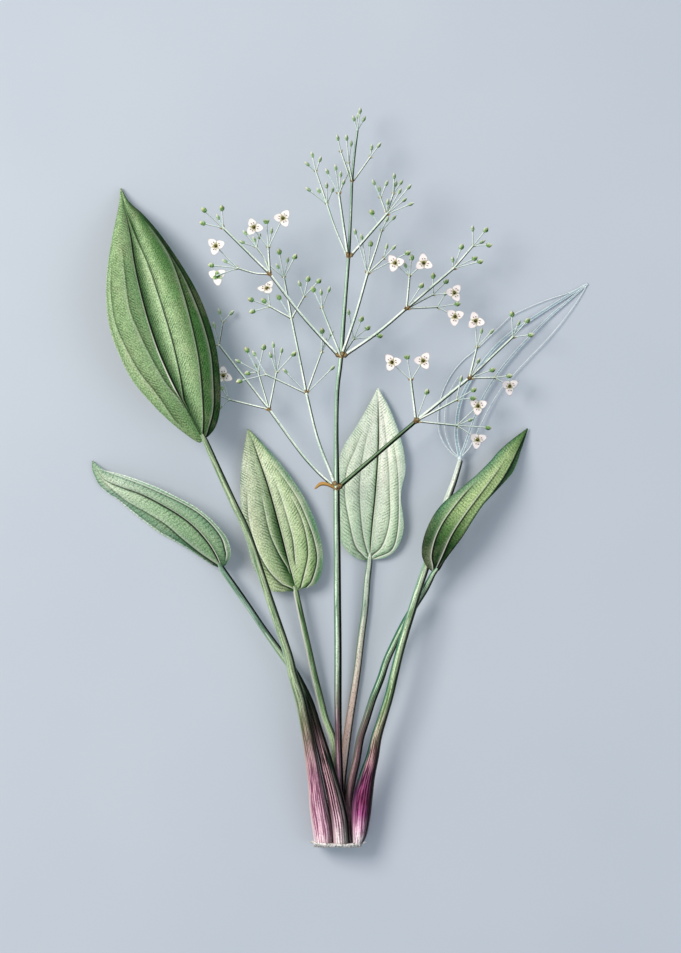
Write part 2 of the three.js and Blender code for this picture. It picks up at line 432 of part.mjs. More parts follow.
// A plate of even thickness over a grid of points
function plate(grid, thickness) {
  const rows = grid.length;
  const columns = grid[0].length;
  const bound = THREE.MathUtils.clamp;
  const point = (i, j) => grid[bound(i, 0, rows - 1)][bound(j, 0, columns - 1)];
  const skin = (side) => grid.flatMap((row, i) => row.map((centre, j) => {
    const forward = new THREE.Vector3().subVectors(point(i + 1, j), point(i - 1, j));
    const rightward = new THREE.Vector3().subVectors(point(i, j + 1), point(i, j - 1));
    const normal = rightward.cross(forward).normalize();
    return centre.clone().addScaledVector(normal, (side * thickness) / 2);
  }));
  const geometry = new THREE.BufferGeometry().setFromPoints([...skin(1), ...skin(-1)]);
  const top = (i, j) => i * columns + j;
  const under = (i, j) => (rows + i) * columns + j;
  const faces = [];
  const quad = (a, b, c, d) => faces.push(a, b, c, a, c, d);
  const end = rows - 1;
  const edge = columns - 1;
  for (let i = 0; i < end; i++) {
    for (let j = 0; j < edge; j++) {
      quad(top(i, j), top(i, j + 1), top(i + 1, j + 1), top(i + 1, j));
      quad(under(i, j), under(i + 1, j), under(i + 1, j + 1), under(i, j + 1));
    }
    quad(top(i, 0), top(i + 1, 0), under(i + 1, 0), under(i, 0));
    quad(top(i, edge), under(i, edge), under(i + 1, edge), top(i + 1, edge));
  }
  for (let j = 0; j < edge; j++) {
    quad(top(0, j), under(0, j), under(0, j + 1), top(0, j + 1));
    quad(top(end, j), top(end, j + 1), under(end, j + 1), under(end, j));
  }
  geometry.setIndex(faces);
  return solidOf(geometry);
}

const BLADE_ROWS = 10;
const BLADE_HALF_COLUMNS = 2;
const BLADE_START = 0.02; // share of the length left out at the base, where the lines meet
const BLADE_END = 0.99;

// One row of a blade, from its left margin over the midrib to its right margin
function bladeRow(lines, bow, s, extra) {
  const [left, mid, right] = lines.map((line) => line.getPointAt(s));
  const arch = Math.sqrt(Math.sin(Math.PI * s));
  const row = [];
  for (let j = -BLADE_HALF_COLUMNS; j <= BLADE_HALF_COLUMNS; j++) {
    const margin = j < 0 ? left : right;
    const out = Math.abs(j) / BLADE_HALF_COLUMNS;
    const reach = out < 1 ? out : 1 + extra / margin.distanceTo(mid);
    const point = mid.clone().lerp(margin, reach);
    point.z += bow[j < 0 ? 0 : 1] * Math.sin(Math.PI * out) * arch;
    row.push(point);
  }
  return row;
}

function blade(leaf, extra) {
  const lines = [leaf.left, leaf.mid, leaf.right].map(curveThrough);
  const shares = Array.from({ length: BLADE_ROWS + 1 }, (_, i) => (
    THREE.MathUtils.lerp(BLADE_START, BLADE_END, i / BLADE_ROWS)));
  if (extra) shares.unshift(BLADE_START - extra / lines[1].getLength());
  const grid = shares.map((s) => bladeRow(lines, leaf.bow, s, extra));
  return plate(grid, LEAF_THICKNESS + 2 * extra);
}

const VEIN_STEPS = 8;
const VEIN_TAPER = 0.35;
const VEIN_KNOT = 1.5;

function veins(extra) {
  const knot = VEIN_LEAF.lines[0].points[0];
  const solids = VEIN_LEAF.lines.map(({ radius, points }) => {
    const stations = curveThrough(points).getSpacedPoints(VEIN_STEPS)
      .map((p, i) => [p.x, p.y, p.z, radius * (1 - (VEIN_TAPER * i) / VEIN_STEPS)]);
    return stem(stations, SIDES.pedicel, extra);
  });
  solids.push(solidOf(new THREE.IcosahedronGeometry(VEIN_KNOT + extra).translate(...knot)));
  return join(solids);
}

function flowerStem(extra) {
  const solids = [stem(FLOWER_STEM, SIDES.stem, extra)];
  for (const { at, radius } of WHORLS) {
    solids.push(solidOf(new THREE.OctahedronGeometry(radius + extra).translate(...at)));
  }
  if (!extra) solids.push(stem(LONG_BRACT, SIDES.pedicel));
  solids.push(...budsOn(TIP_BUDS, extra));
  return join(solids);
}

// A bud without a height of its own rises or sinks in turn, by a share of its distance on plan
const SPREAD = 0.32;
const LOWEST_BUD = 1.6;

function centreOf(item, start, index) {
  const [x, y, z] = item.at;
  const rise = SPREAD * Math.hypot(x - start.x, y - start.y) * Math.sin(TURN * index + 1);
  return new THREE.Vector3(x, y, z ?? Math.max(start.z + rise, LOWEST_BUD));
}

// A bud or an open calyx with its pedicel
function stalkedBud(kind, start, centre, extra) {
  const { length, radius, sides, belly } = BUDS[kind];
  const along = centre.clone().sub(start).normalize();
  const at = (share) => centre.clone().addScaledVector(along, share * length);
  const stations = [[...start, PEDICEL_RADIUS], [...at(-0.5), PEDICEL_RADIUS],
    [...at(belly), radius]];
  return stem(stations, sides, extra, at(0.5).addScaledVector(along, extra));
}

function facingOf({ lean: [x, y], back }) {
  const up = Math.sqrt(1 - x * x - y * y);
  return new THREE.Vector3(x, y, back ? -up : up);
}

// A flower's pedicel stops short of the foot of the flower
function flowerStalk(item, start, extra) {
  const end = vector(item.at).addScaledVector(facingOf(item), -FLOWER_DEPTH - GAP);
  return stem([[...start, PEDICEL_RADIUS], [...end, PEDICEL_RADIUS]], SIDES.pedicel, extra);
}

// Everything that grows from a fork and has no name of its own
function budsOn(item, extra) {
  const start = vector(item.at);
  return item.bears.flatMap((child, index) => {
    if (child.kind === 'fork') return child.name ? [] : forkSolids(child, start, extra);
    if (child.kind === 'flower') return [flowerStalk(child, start, extra)];
    return [stalkedBud(child.kind, start, centreOf(child, start, index), extra)];
  });
}

// A stalk is swollen at its foot, and swells into a small knob where it forks
const STALK_SWELL = 1.15;
const KNOB = { swell: 1.5, extra: 0.15, neck: 1.3 };

function forkSolids(item, start, extra) {
  const { at, via, radius } = item;
  const knob = KNOB.swell * radius + KNOB.extra;
  const along = vector(at).sub(vector(via.at(-1) ?? [...start])).normalize();
  const neck = vector(at).addScaledVector(along, -KNOB.neck * knob);
  const stations = [[...start, STALK_SWELL * radius], ...via.map((point) => [...point, radius]),
    [...neck, radius], [...at, knob]];
  const tip = vector(at).addScaledVector(along, knob + extra);
  return [stem(stations, SIDES.twig, extra, tip), ...budsOn(item, extra)];
}

// The named forks and the flowers of a branch, each with the point that it grows from
function piecesOn(item, start) {
  const inner = item.bears.filter(({ name, kind }) => kind === 'fork' || name)
    .flatMap((child) => (
      child.kind === 'flower' ? [{ item: child }] : piecesOn(child, vector(item.at))));
  return item.name ? [{ item, start }, ...inner] : inner;
}

// A third of a flower's rim, from one sepal round a petal to the next, as [degrees, radius, height]
const RIM = [[-60, SEPAL_REACH, -0.5], [-32, NOTCH_REACH, -0.1], [-30, 0.75 * PETAL_REACH, 0.3],
  [-12, PETAL_REACH, 0.7], [12, PETAL_REACH, 0.7], [30, 0.75 * PETAL_REACH, 0.3],
  [32, NOTCH_REACH, -0.1]];

// A flower is a star of three petals and three sepals that runs down to its foot
function flowerSolid(item) {
  const rim = [0, 120, 240].flatMap((third) => RIM.map(([degrees, radius, height]) => (
    new THREE.Vector3(radius, 0, height)
      .applyAxisAngle(UP, THREE.MathUtils.degToRad(item.turn + third + degrees)))));
  const under = rim.map((p) => p.clone().setZ(p.z - PETAL_THICKNESS));
  const foot = new THREE.Vector3(0, 0, -FLOWER_DEPTH);
  const star = loft([under, rim], foot, new THREE.Vector3(0, 0, SEED_HEAD));
  const tilt = new THREE.Quaternion().setFromUnitVectors(UP, facingOf(item));
  return solidOf(star.applyQuaternion(tilt).translate(...item.at));
}

function crown() {
  const solids = [stem(CROWN, SIDES.stem)];
  for (let i = 0; i < ROOTS.count; i++) {
    const share = i / (ROOTS.count - 1);
    const bulge = Math.sin(Math.PI * THREE.MathUtils.lerp(0.12, 0.88, share));
    const x = THREE.MathUtils.lerp(ROOTS.firstX, ROOTS.lastX, share);
    const y = ROOTS.middleY + ROOTS.endRise * (2 * share - 1) ** 2;
    const z = ROOTS.middleZ + ROOTS.spread * Math.sin(TURN * i) * bulge;
    const stub = [[x, y, z, ROOTS.radius], [x, y - ROOTS.length, z, ROOTS.tipRadius]];
    solids.push(stem(stub, SIDES.pedicel));
  }
  return join(solids);
}

// Every piece as a name, a look and a solid at a given swelling, in the order that they are
// fitted: each gives way, by GAP, to the ones before it
function pieces() {
  const list = [];
  const add = (name, look, make) => list.push({ name, look, make });
  add('flower_stem', 'stem', flowerStem);
  for (const leaf of LEAVES) {
    add(`${leaf.name}_blade`, leaf.pale ? 'paleBlade' : 'blade', (extra) => blade(leaf, extra));
  }
  add(`${VEIN_LEAF.name}_veins`, 'veins', veins);
  for (const { name, petiole } of [VEIN_LEAF, ...LEAVES]) {
    add(`${name}_petiole`, 'petiole', (extra) => stem(petiole, SIDES.stem, extra));
  }
  const grown = BRANCHES.flatMap((branch) => piecesOn(branch, vector(branch.from)));
  for (const { item, start } of grown.filter(({ item: { kind } }) => kind === 'fork')) {
    add(item.name, 'twig', (extra) => join(forkSolids(item, start, extra)));
  }
  for (const { item } of grown.filter(({ item: { kind } }) => kind === 'flower')) {
    add(item.name, 'flower', () => flowerSolid(item));
  }
  add('crown', 'crown', crown);
  return list;
}

const boxOf = (solid) => {
  const { min, max } = solid.boundingBox();
  return new THREE.Box3(vector(min), vector(max));
};

// The largest body of a solid, without the chips that a cut leaves
function mainBody(solid) {
  return solid.decompose().reduce((best, body) => (body.volume() > best.volume() ? body : best));
}

// A solid that gives way, by GAP, to each earlier piece that it would run into
function fitted(whole, earlier) {
  let solid = whole;
  for (const other of earlier) {
    const clear = !other.box.intersectsBox(boxOf(solid)) || solid.intersect(other.solid).isEmpty();
    if (!clear) solid = solid.subtract(other.make(GAP));
  }
  return mainBody(solid);
}

function build() {
  const group = new THREE.Group();
  const earlier = [];
  for (const { name, look, make } of pieces()) {
    const solid = fitted(make(0), earlier);
    const mesh = new THREE.Mesh(geometryOf(solid), new THREE.MeshStandardMaterial(LOOKS[look]));
    mesh.name = name;
    group.add(mesh);
    earlier.push({ solid, box: boxOf(solid), make });
  }
  return group;
}

export default build();
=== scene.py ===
# A water plantain cut off at its crown and laid on a pale surface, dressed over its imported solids.
# The tables are in millimetres, in the frame of the solids: X across the plant, +Y from the crown
# to the top bud, +Z up from the surface. The meshes are in metres.
import math
from collections import namedtuple

import bpy
import mathutils
import numpy as np
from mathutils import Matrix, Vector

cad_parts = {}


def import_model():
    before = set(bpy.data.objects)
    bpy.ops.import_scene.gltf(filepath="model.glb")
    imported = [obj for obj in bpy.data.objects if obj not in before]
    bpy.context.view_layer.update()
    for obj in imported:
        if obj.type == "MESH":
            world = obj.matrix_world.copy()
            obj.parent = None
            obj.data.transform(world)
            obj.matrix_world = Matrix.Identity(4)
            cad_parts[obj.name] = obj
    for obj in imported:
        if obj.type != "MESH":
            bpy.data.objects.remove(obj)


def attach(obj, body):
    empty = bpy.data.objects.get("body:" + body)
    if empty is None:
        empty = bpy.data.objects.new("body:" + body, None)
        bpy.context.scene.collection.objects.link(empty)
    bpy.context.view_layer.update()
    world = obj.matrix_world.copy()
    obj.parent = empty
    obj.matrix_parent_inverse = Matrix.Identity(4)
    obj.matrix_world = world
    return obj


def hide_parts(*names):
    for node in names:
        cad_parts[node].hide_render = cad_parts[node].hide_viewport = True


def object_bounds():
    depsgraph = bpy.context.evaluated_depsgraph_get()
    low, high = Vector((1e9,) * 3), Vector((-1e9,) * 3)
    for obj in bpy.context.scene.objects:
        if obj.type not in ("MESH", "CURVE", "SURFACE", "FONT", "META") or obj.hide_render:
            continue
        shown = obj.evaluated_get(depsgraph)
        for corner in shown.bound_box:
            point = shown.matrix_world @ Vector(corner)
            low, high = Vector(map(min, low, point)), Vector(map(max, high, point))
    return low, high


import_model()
cad_box = [list(corner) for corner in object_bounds()]

MM = 0.001
UP = np.array([0.0, 0.0, 1.0])
# RIGHT is the way the painted shade on a petiole and on the flower stem faces
RIGHT = (1, 0, 0)
LOW_RIGHT = (0.45, -0.9, 0)  # the way the painted shade on a thin stalk faces
RIGHT_AND_LOW = (0.62, -0.78, 0)  # and the way it faces on a turned form

# Driving dimensions
LOWEST = 0.15  # from the surface to the lowest point
LEAF_SHEET = 0.7  # thickness of a blade in its middle
PEDICEL_RADIUS = 0.34
PETAL_LENGTH = 4.95
PETAL_HALF_WIDTH = 2.2
SEPAL_LENGTH = 2.6
FLOWER_DEPTH = 1.8  # from the foot of a flower to the plane of its petals
BUDS = {"slim": (3.4, 0.85), "plump": (3.0, 1.25), "calyx": (2.8, 1.2)}  # length and radius

Leaf = namedtuple("Leaf", "name base tip bow left mid right petiole")

# What a branch bears. A bud without a height of its own rises or sinks round its fork.
Bud = namedtuple("Bud", "kind at")
# A flower's turn is the direction of one petal in degrees, its lean the part of the way it faces
# that lies along X and Y, and back is for one that faces down.
Flower = namedtuple("Flower", "name at turn lean back", defaults=[False])
Fork = namedtuple("Fork", "at radius bears via name", defaults=[(), None])


def buds_of(kind):
    return lambda x, y, z=None: Bud(kind, (x, y, z))


slim, plump, calyx = (buds_of(kind) for kind in BUDS)


def piece(name, at, radius, bears, via=()):
    """A fork that is a piece of its own."""
    return Fork(at, radius, bears, via, name)


# Leaves, the front ones first. A blade hangs between three lines from its base to its tip: its
# margins and its midrib. bow lifts the two halves between midrib and margin. A petiole's
# stations are [x, y, z, half width, half thickness], from its sheath at the crown to its blade.
LEAVES = [
    Leaf("leaf_upper_left", base=[-68, 19.5, 26], tip=[-110, 145.5, 0.8], bow=[2.5, 4],
        left=[[-70.5, 17.5, 25.5], [-77.5, 22, 24.5], [-86, 29, 24], [-95, 38, 24], [-104, 49, 24.5],
            [-110.5, 62, 25], [-115, 75, 25], [-116.75, 89, 23.5], [-116.25, 104, 20],
            [-114, 120, 14.5], [-111, 135.5, 6.5]],
        mid=[[-72.5, 26.5, 26.6], [-79, 38, 27], [-85, 50, 27.5], [-91, 64, 27.5], [-96, 79, 26.5],
            [-100, 94, 24], [-103, 108, 20.5], [-105, 121.5, 15.5], [-108, 135.5, 7.5]],
        right=[[-65.5, 21, 24.5], [-62, 26, 22.5], [-60, 35, 21.5], [-60, 49, 21.5], [-61.5, 62.5, 22],
            [-64.5, 75, 22], [-69.5, 88.5, 21.5], [-75.5, 100, 20], [-83.5, 112.5, 17.5],
            [-91.5, 123.5, 14], [-99, 132, 9.5], [-106, 138.5, 5]],
        petiole=[[-8.25, -183, 9.6, 4.7, 4.6], [-8.75, -176.5, 10.1, 5.1, 5],
            [-10.6, -166, 11.1, 4.7, 4.8], [-12.6, -151, 12.8, 3.7, 4], [-15, -136, 14.6, 3.1, 3.4],
            [-17.4, -123.5, 16, 2.95, 3], [-20, -111, 17.3, 2.8, 2.7], [-23.7, -98.5, 18.5, 2.5, 2.4],
            [-26.5, -87, 19.6, 2.2, 2.2], [-35.75, -59.5, 22, 2, 2], [-46, -28.5, 24.2, 1.9, 1.9],
            [-53.45, -12.3, 25, 1.8, 1.85], [-60.4, 2.8, 25.6, 1.7, 1.8], [-67, 17.5, 26, 1.5, 1.5],
            [-69, 21.5, 26.2, 1.2, 1.2]]),
    Leaf("leaf_lower_left", base=[-59.5, -45, 8], tip=[-124.25, 8.5, 1], bow=[1, 1.5],
        left=[[-62.5, -44.5, 6.5], [-67.5, -41.5, 4.5], [-75, -36.5, 2.8], [-82.5, -32, 1.6],
            [-90, -28, 1], [-97.5, -22.5, 0.7], [-105, -16.5, 0.7], [-111.5, -11, 0.8], [-116, -8, 1],
            [-120.5, -4, 1.2], [-123, 0.5, 1.3], [-124.25, 4.5, 1.2]],
        mid=[[-62, -39, 8.5], [-66, -32.5, 8.8], [-72.5, -25, 8.8], [-80, -19, 8.5], [-90, -13, 8],
            [-100, -8, 7], [-110, -4.5, 5.5], [-118, -1, 3.8], [-121.5, 3.5, 2.5]],
        right=[[-57, -43.5, 10], [-54.75, -39, 12.5], [-55, -34.5, 14], [-57, -29.5, 15],
            [-61, -24.5, 16], [-66, -19.5, 16.5], [-72.5, -14.5, 16.5], [-81, -10, 16], [-90, -5.5, 15],
            [-100, -1.5, 13], [-110, 1.75, 9.5], [-117.5, 3.5, 6], [-121, 5.75, 3.5]],
        petiole=[[1, -183, 13, 4.2, 3.4], [0, -172, 13.2, 4.2, 3.5], [-2.25, -161, 13.1, 4.1, 3.4],
            [-4.75, -151, 12.3, 3.7, 3.1], [-8, -138.5, 11, 3.1, 2.7], [-11.5, -126, 9.8, 2.6, 2.4],
            [-15.25, -113.5, 8.6, 2.3, 2.2], [-19.5, -104, 7.8, 2.1, 2.1], [-24.25, -95.5, 7.2, 2, 2],
            [-30.25, -87.15, 6.9, 1.8, 1.95], [-38, -76.35, 6.7, 1.6, 1.8],
            [-45.35, -65.5, 6.9, 1.55, 1.75], [-52.65, -55.1, 7.3, 1.6, 1.75],
            [-58.5, -46.7, 7.9, 1.5, 1.5], [-60.3, -43.2, 8.2, 1.2, 1.2]]),
    Leaf("leaf_middle_left", base=[-22, -57.5, 8], tip=[-46.25, 24.5, 2.5], bow=[1.6, 1.6],
        left=[[-25, -57, 8], [-30, -57.5, 7.5], [-35, -56.5, 7], [-39.5, -52, 6.5], [-43.75, -44, 6],
            [-46.5, -33.5, 5.5], [-49, -22, 5.2], [-50, -11, 5], [-50, 0, 4.8], [-49, 10.5, 4.2],
            [-47.5, 18.5, 3.2]],
        mid=[[-23, -52.5, 7], [-25.5, -43.5, 4.5], [-28, -33.5, 2.4], [-31, -22, 1.2], [-34, -11, 0.8],
            [-37, -1, 0.8], [-40.5, 9, 1.2], [-43.5, 17.5, 1.8]],
        right=[[-20, -56, 8], [-16, -55, 8], [-12, -53, 7.8], [-9.5, -48, 7.5], [-8.5, -40, 7],
            [-10, -30, 6.5], [-13.5, -19.5, 6], [-18, -10, 5.6], [-23.5, -1.5, 5.2], [-30, 7, 4.6],
            [-37, 15, 3.8], [-42.5, 21, 3]],
        petiole=[[-5.5, -183, 2.7, 2.8, 2.9], [-5, -171.5, 2.7, 2.8, 2.8], [-4.5, -161.5, 3, 2.6, 2.6],
            [-3.8, -151.5, 3.6, 2.3, 2.3], [-3.2, -141.5, 4.1, 2.2, 2.1], [-3.95, -131, 4.7, 2.1, 2.1],
            [-7.55, -121.05, 5.4, 1.95, 2], [-10.05, -111.1, 5.9, 1.9, 1.95],
            [-13.05, -98.7, 6.4, 1.75, 1.9], [-15.75, -86.2, 6.9, 1.65, 1.8],
            [-18.55, -73.7, 7.3, 1.55, 1.65], [-20.75, -63.55, 7.7, 1.45, 1.5],
            [-21.8, -58.8, 7.9, 1.4, 1.4], [-22.6, -54.5, 7.4, 1.1, 1.1]]),
    Leaf("leaf_centre", base=[15, -41, 2.4], tip=[19, 45, 2.8], bow=[1.2, 1.2],
        left=[[11.5, -41.5, 3], [7, -39.75, 3.6], [3, -36.5, 4], [0.25, -31.5, 4.4], [-1, -23.5, 4.8],
            [-1.5, -13.5, 5], [-1.75, -3, 5.2], [-1, 6.5, 5.2], [1.5, 15, 5], [5.5, 21.5, 4.6],
            [10.5, 29.5, 4], [15, 37.5, 3.4]],
        mid=[[15.5, -33.5, 1.6], [16.5, -22, 1], [17.75, -10, 0.7], [18.75, 3, 0.7], [19.5, 16.5, 0.9],
            [19.5, 29, 1.4], [19.25, 38, 2]],
        right=[[19, -41, 3], [23.5, -39.75, 3.4], [27.75, -36.5, 3.8], [30.5, -31.5, 4.2],
            [32, -25.5, 4.6], [31.5, -18, 5.4], [30.5, -11, 6], [31, -5, 5.6], [32.75, 2.5, 4.8],
            [32.5, 10, 4.6], [30.75, 18.5, 4.6], [28, 27, 4.2], [24, 36.5, 3.6]],
        petiole=[[0, -183, 2.5, 2.1, 2.6], [0.2, -171.5, 2.5, 2.1, 2.6], [0.5, -161.5, 2.4, 2.1, 2.4],
            [1, -151.5, 2.3, 2, 2.2], [2.25, -141, 2.3, 2, 2.1], [3.5, -131, 2.3, 2, 2],
            [4.9, -121, 2.3, 1.95, 1.95], [6.5, -111, 2.2, 1.9, 1.9], [8.75, -96.05, 2.2, 1.85, 1.85],
            [10.5, -81, 2.2, 1.8, 1.8], [12.5, -66, 2.2, 1.7, 1.7], [13.75, -51, 2.3, 1.6, 1.6],
            [14.8, -42.8, 2.4, 1.4, 1.4], [15.2, -38, 2.1, 1.1, 1.1]]),
    Leaf("leaf_right", base=[47, -47.5, 14.5], tip=[94.25, 24.75, 1], bow=[1.5, 0],
        left=[[45.5, -46.5, 14.5], [42.75, -43.5, 15], [41, -38.5, 15.6], [41.5, -32, 16],
            [44, -24.5, 16], [47.5, -18, 15.6], [52, -12.5, 15], [57.5, -8, 14.2], [63.5, -3, 13],
            [69.5, 2.25, 11.5], [75, 7.75, 9.6], [80.5, 14, 7], [87, 19.5, 4]],
        mid=[[50.5, -43.5, 15.5], [55, -37.5, 17], [61, -29.5, 18.2], [66, -21.5, 18.4],
            [71, -14, 17.6], [76, -8, 16], [80.5, -2, 13.6], [84.5, 4.5, 10.6], [88, 11.5, 7],
            [91.25, 18.5, 3.6]],
        right=[[49.5, -46.5, 14], [51.5, -43, 12.5], [54.5, -37, 11.5], [59, -30, 11],
            [64.5, -22, 10.6], [70.5, -14.5, 10], [77, -7.75, 9], [82, -2.5, 7.6], [86, 2, 6],
            [88.5, 7, 4.4], [90.5, 13, 3], [92.5, 19, 1.8]],
        petiole=[[5.5, -183, 2.6, 2.7, 2.8], [5.3, -171.5, 2.6, 2.7, 2.8], [4.6, -161, 3, 2.1, 2.4],
            [6, -151.5, 4, 2.2, 2.2], [8.25, -141.5, 5, 2.1, 2.1], [10.15, -130.75, 5.8, 2, 2],
            [13.3, -120.8, 6.5, 1.95, 1.95], [16.45, -110.9, 7.1, 1.9, 1.9],
            [20.3, -101.1, 7.6, 1.9, 1.9], [23.25, -92, 8, 1.85, 1.85], [27.5, -82.5, 8.4, 1.8, 1.8],
            [32.25, -73, 8.8, 1.8, 1.8], [37.5, -64, 9.2, 1.75, 1.75], [42, -57, 9.9, 1.7, 1.7],
            [44.6, -52.2, 12, 1.6, 1.6], [46.4, -48.6, 14.1, 1.4, 1.4], [48.6, -45.6, 15, 1.1, 1.1]]),
]

# The dry leaf: its two margins, its midrib and two veins, all from its base, and its petiole
NET_BASE = [60.25, 9.5, 5]
NET_LINES = [
    [[57.5, 11, 4.4], [53.5, 15, 3.2], [50.5, 20.5, 2], [49.25, 27, 1.2], [49.75, 36, 0.7],
        [52, 44, 0.6], [56.5, 52.5, 0.6], [62, 59, 0.7], [68, 64, 0.8], [80, 75.5, 1], [86, 81, 1.1],
        [95, 85.5, 1.1], [105, 89.5, 1], [115, 92.75, 0.8], [124.25, 97.25, 0.6]],
    [[65, 15, 4], [68, 21, 3.2], [71.5, 28.5, 2.6], [75.5, 36, 2.2], [80.5, 44, 2], [87, 51.5, 1.8],
        [95, 60, 1.6], [103.5, 68.75, 1.4], [111, 77.5, 1.2], [117, 85.5, 1], [121, 91.5, 0.8],
        [124.25, 97.25, 0.6]],
    [[58.5, 19, 3.4], [58.5, 26.5, 2.6], [60, 36.5, 2], [64, 46.5, 1.8], [71, 57, 1.7], [78.5, 66, 1.6],
        [86.5, 73, 1.5], [97.5, 80.5, 1.4], [110, 88.5, 1.1], [124.25, 97.25, 0.6]],
    [[56, 14, 4], [53.25, 21, 2.6], [52.5, 29, 1.9], [53.5, 38, 1.5], [56, 45, 1.4], [59.5, 50.5, 1.3]],
    [[63.5, 18.5, 4], [66.5, 27, 3.2], [70, 36.5, 2.6], [74.5, 45, 2.3], [80.5, 54, 2], [88, 63, 1.8],
        [96, 71.5, 1.6], [105, 80.5, 1.4], [116, 90, 1], [124.25, 97.25, 0.6]],
]
NET_PETIOLE = [[8.75, -183, 9.7, 2.7, 4.2], [9.75, -177.5, 10.1, 4, 4.9], [10.5, -168.5, 10.9, 4.8, 5],
    [11.5, -159.5, 12, 4.8, 4.6], [13.5, -149.5, 13.1, 4, 3.9], [16.25, -139.5, 14, 3.2, 3.2],
    [18.25, -129.8, 14.8, 2.7, 2.7], [21.3, -119.95, 15.4, 2.4, 2.4], [24.45, -109.65, 16, 2.25, 2.25],
    [27.15, -98.2, 16.3, 2.2, 2.2], [29.8, -87.2, 16.5, 2.15, 2.15], [32.95, -76.2, 16.2, 2.1, 2.1],
    [36.55, -64.7, 15.2, 2.05, 2.05], [40, -53.5, 13.2, 1.95, 1.95], [43.75, -42.5, 11, 1.9, 1.9],
    [48, -28.5, 9.2, 1.85, 1.85], [52.9, -13.6, 7.6, 1.75, 1.8], [57.25, -1.75, 6.3, 1.55, 1.75],
    [60.35, 8.45, 5.1, 1.3, 1.5]]

# A stem's stations are [x, y, z, radius]. A bract's have a half width and a half thickness.
FLOWER_STEM = [[0.5, -183, 7.3, 1.75], [0.3, -161, 7.6, 1.75], [-0.25, -146, 8.1, 1.75],
    [-0.75, -131, 9.2, 1.75], [-1, -111, 11, 1.85], [-1, -86, 13.3, 1.85], [-1.25, -61, 15.8, 1.85],
    [-1.5, -31, 19, 1.75], [-1.75, -5.5, 22, 1.6], [-1.9, 24, 23.8, 1.2], [-1.35, 44, 24.7, 1.15],
    [0.5, 60.25, 25, 1.15], [2.6, 89, 25, 1], [4.25, 110, 24.5, 0.9], [5.4, 131.5, 23, 0.7],
    [6, 148, 22, 0.7], [7.25, 161.5, 20.8, 0.6], [8.75, 173.5, 19.5, 0.55]]
WHORLS = [[-1.75, -5.5, 22], [0.5, 60.25, 25], [4.25, 110, 24.5], [6, 148, 22]]
LONG_BRACT = [[-2.5, -5.5, 21.5, 0.8, 0.5], [-6, -3.6, 21.8, 1.1, 0.4], [-9.5, -3.2, 21.4, 1.3, 0.4],
    [-12.6, -5.6, 20.4, 0.5, 0.3]]
TIP_BUDS = Fork([8.75, 173.5, 19.5], 0.5, [slim(6.85, 179.5), slim(12, 179.5),
    slim(9, 180.9), slim(10, 183.4)])

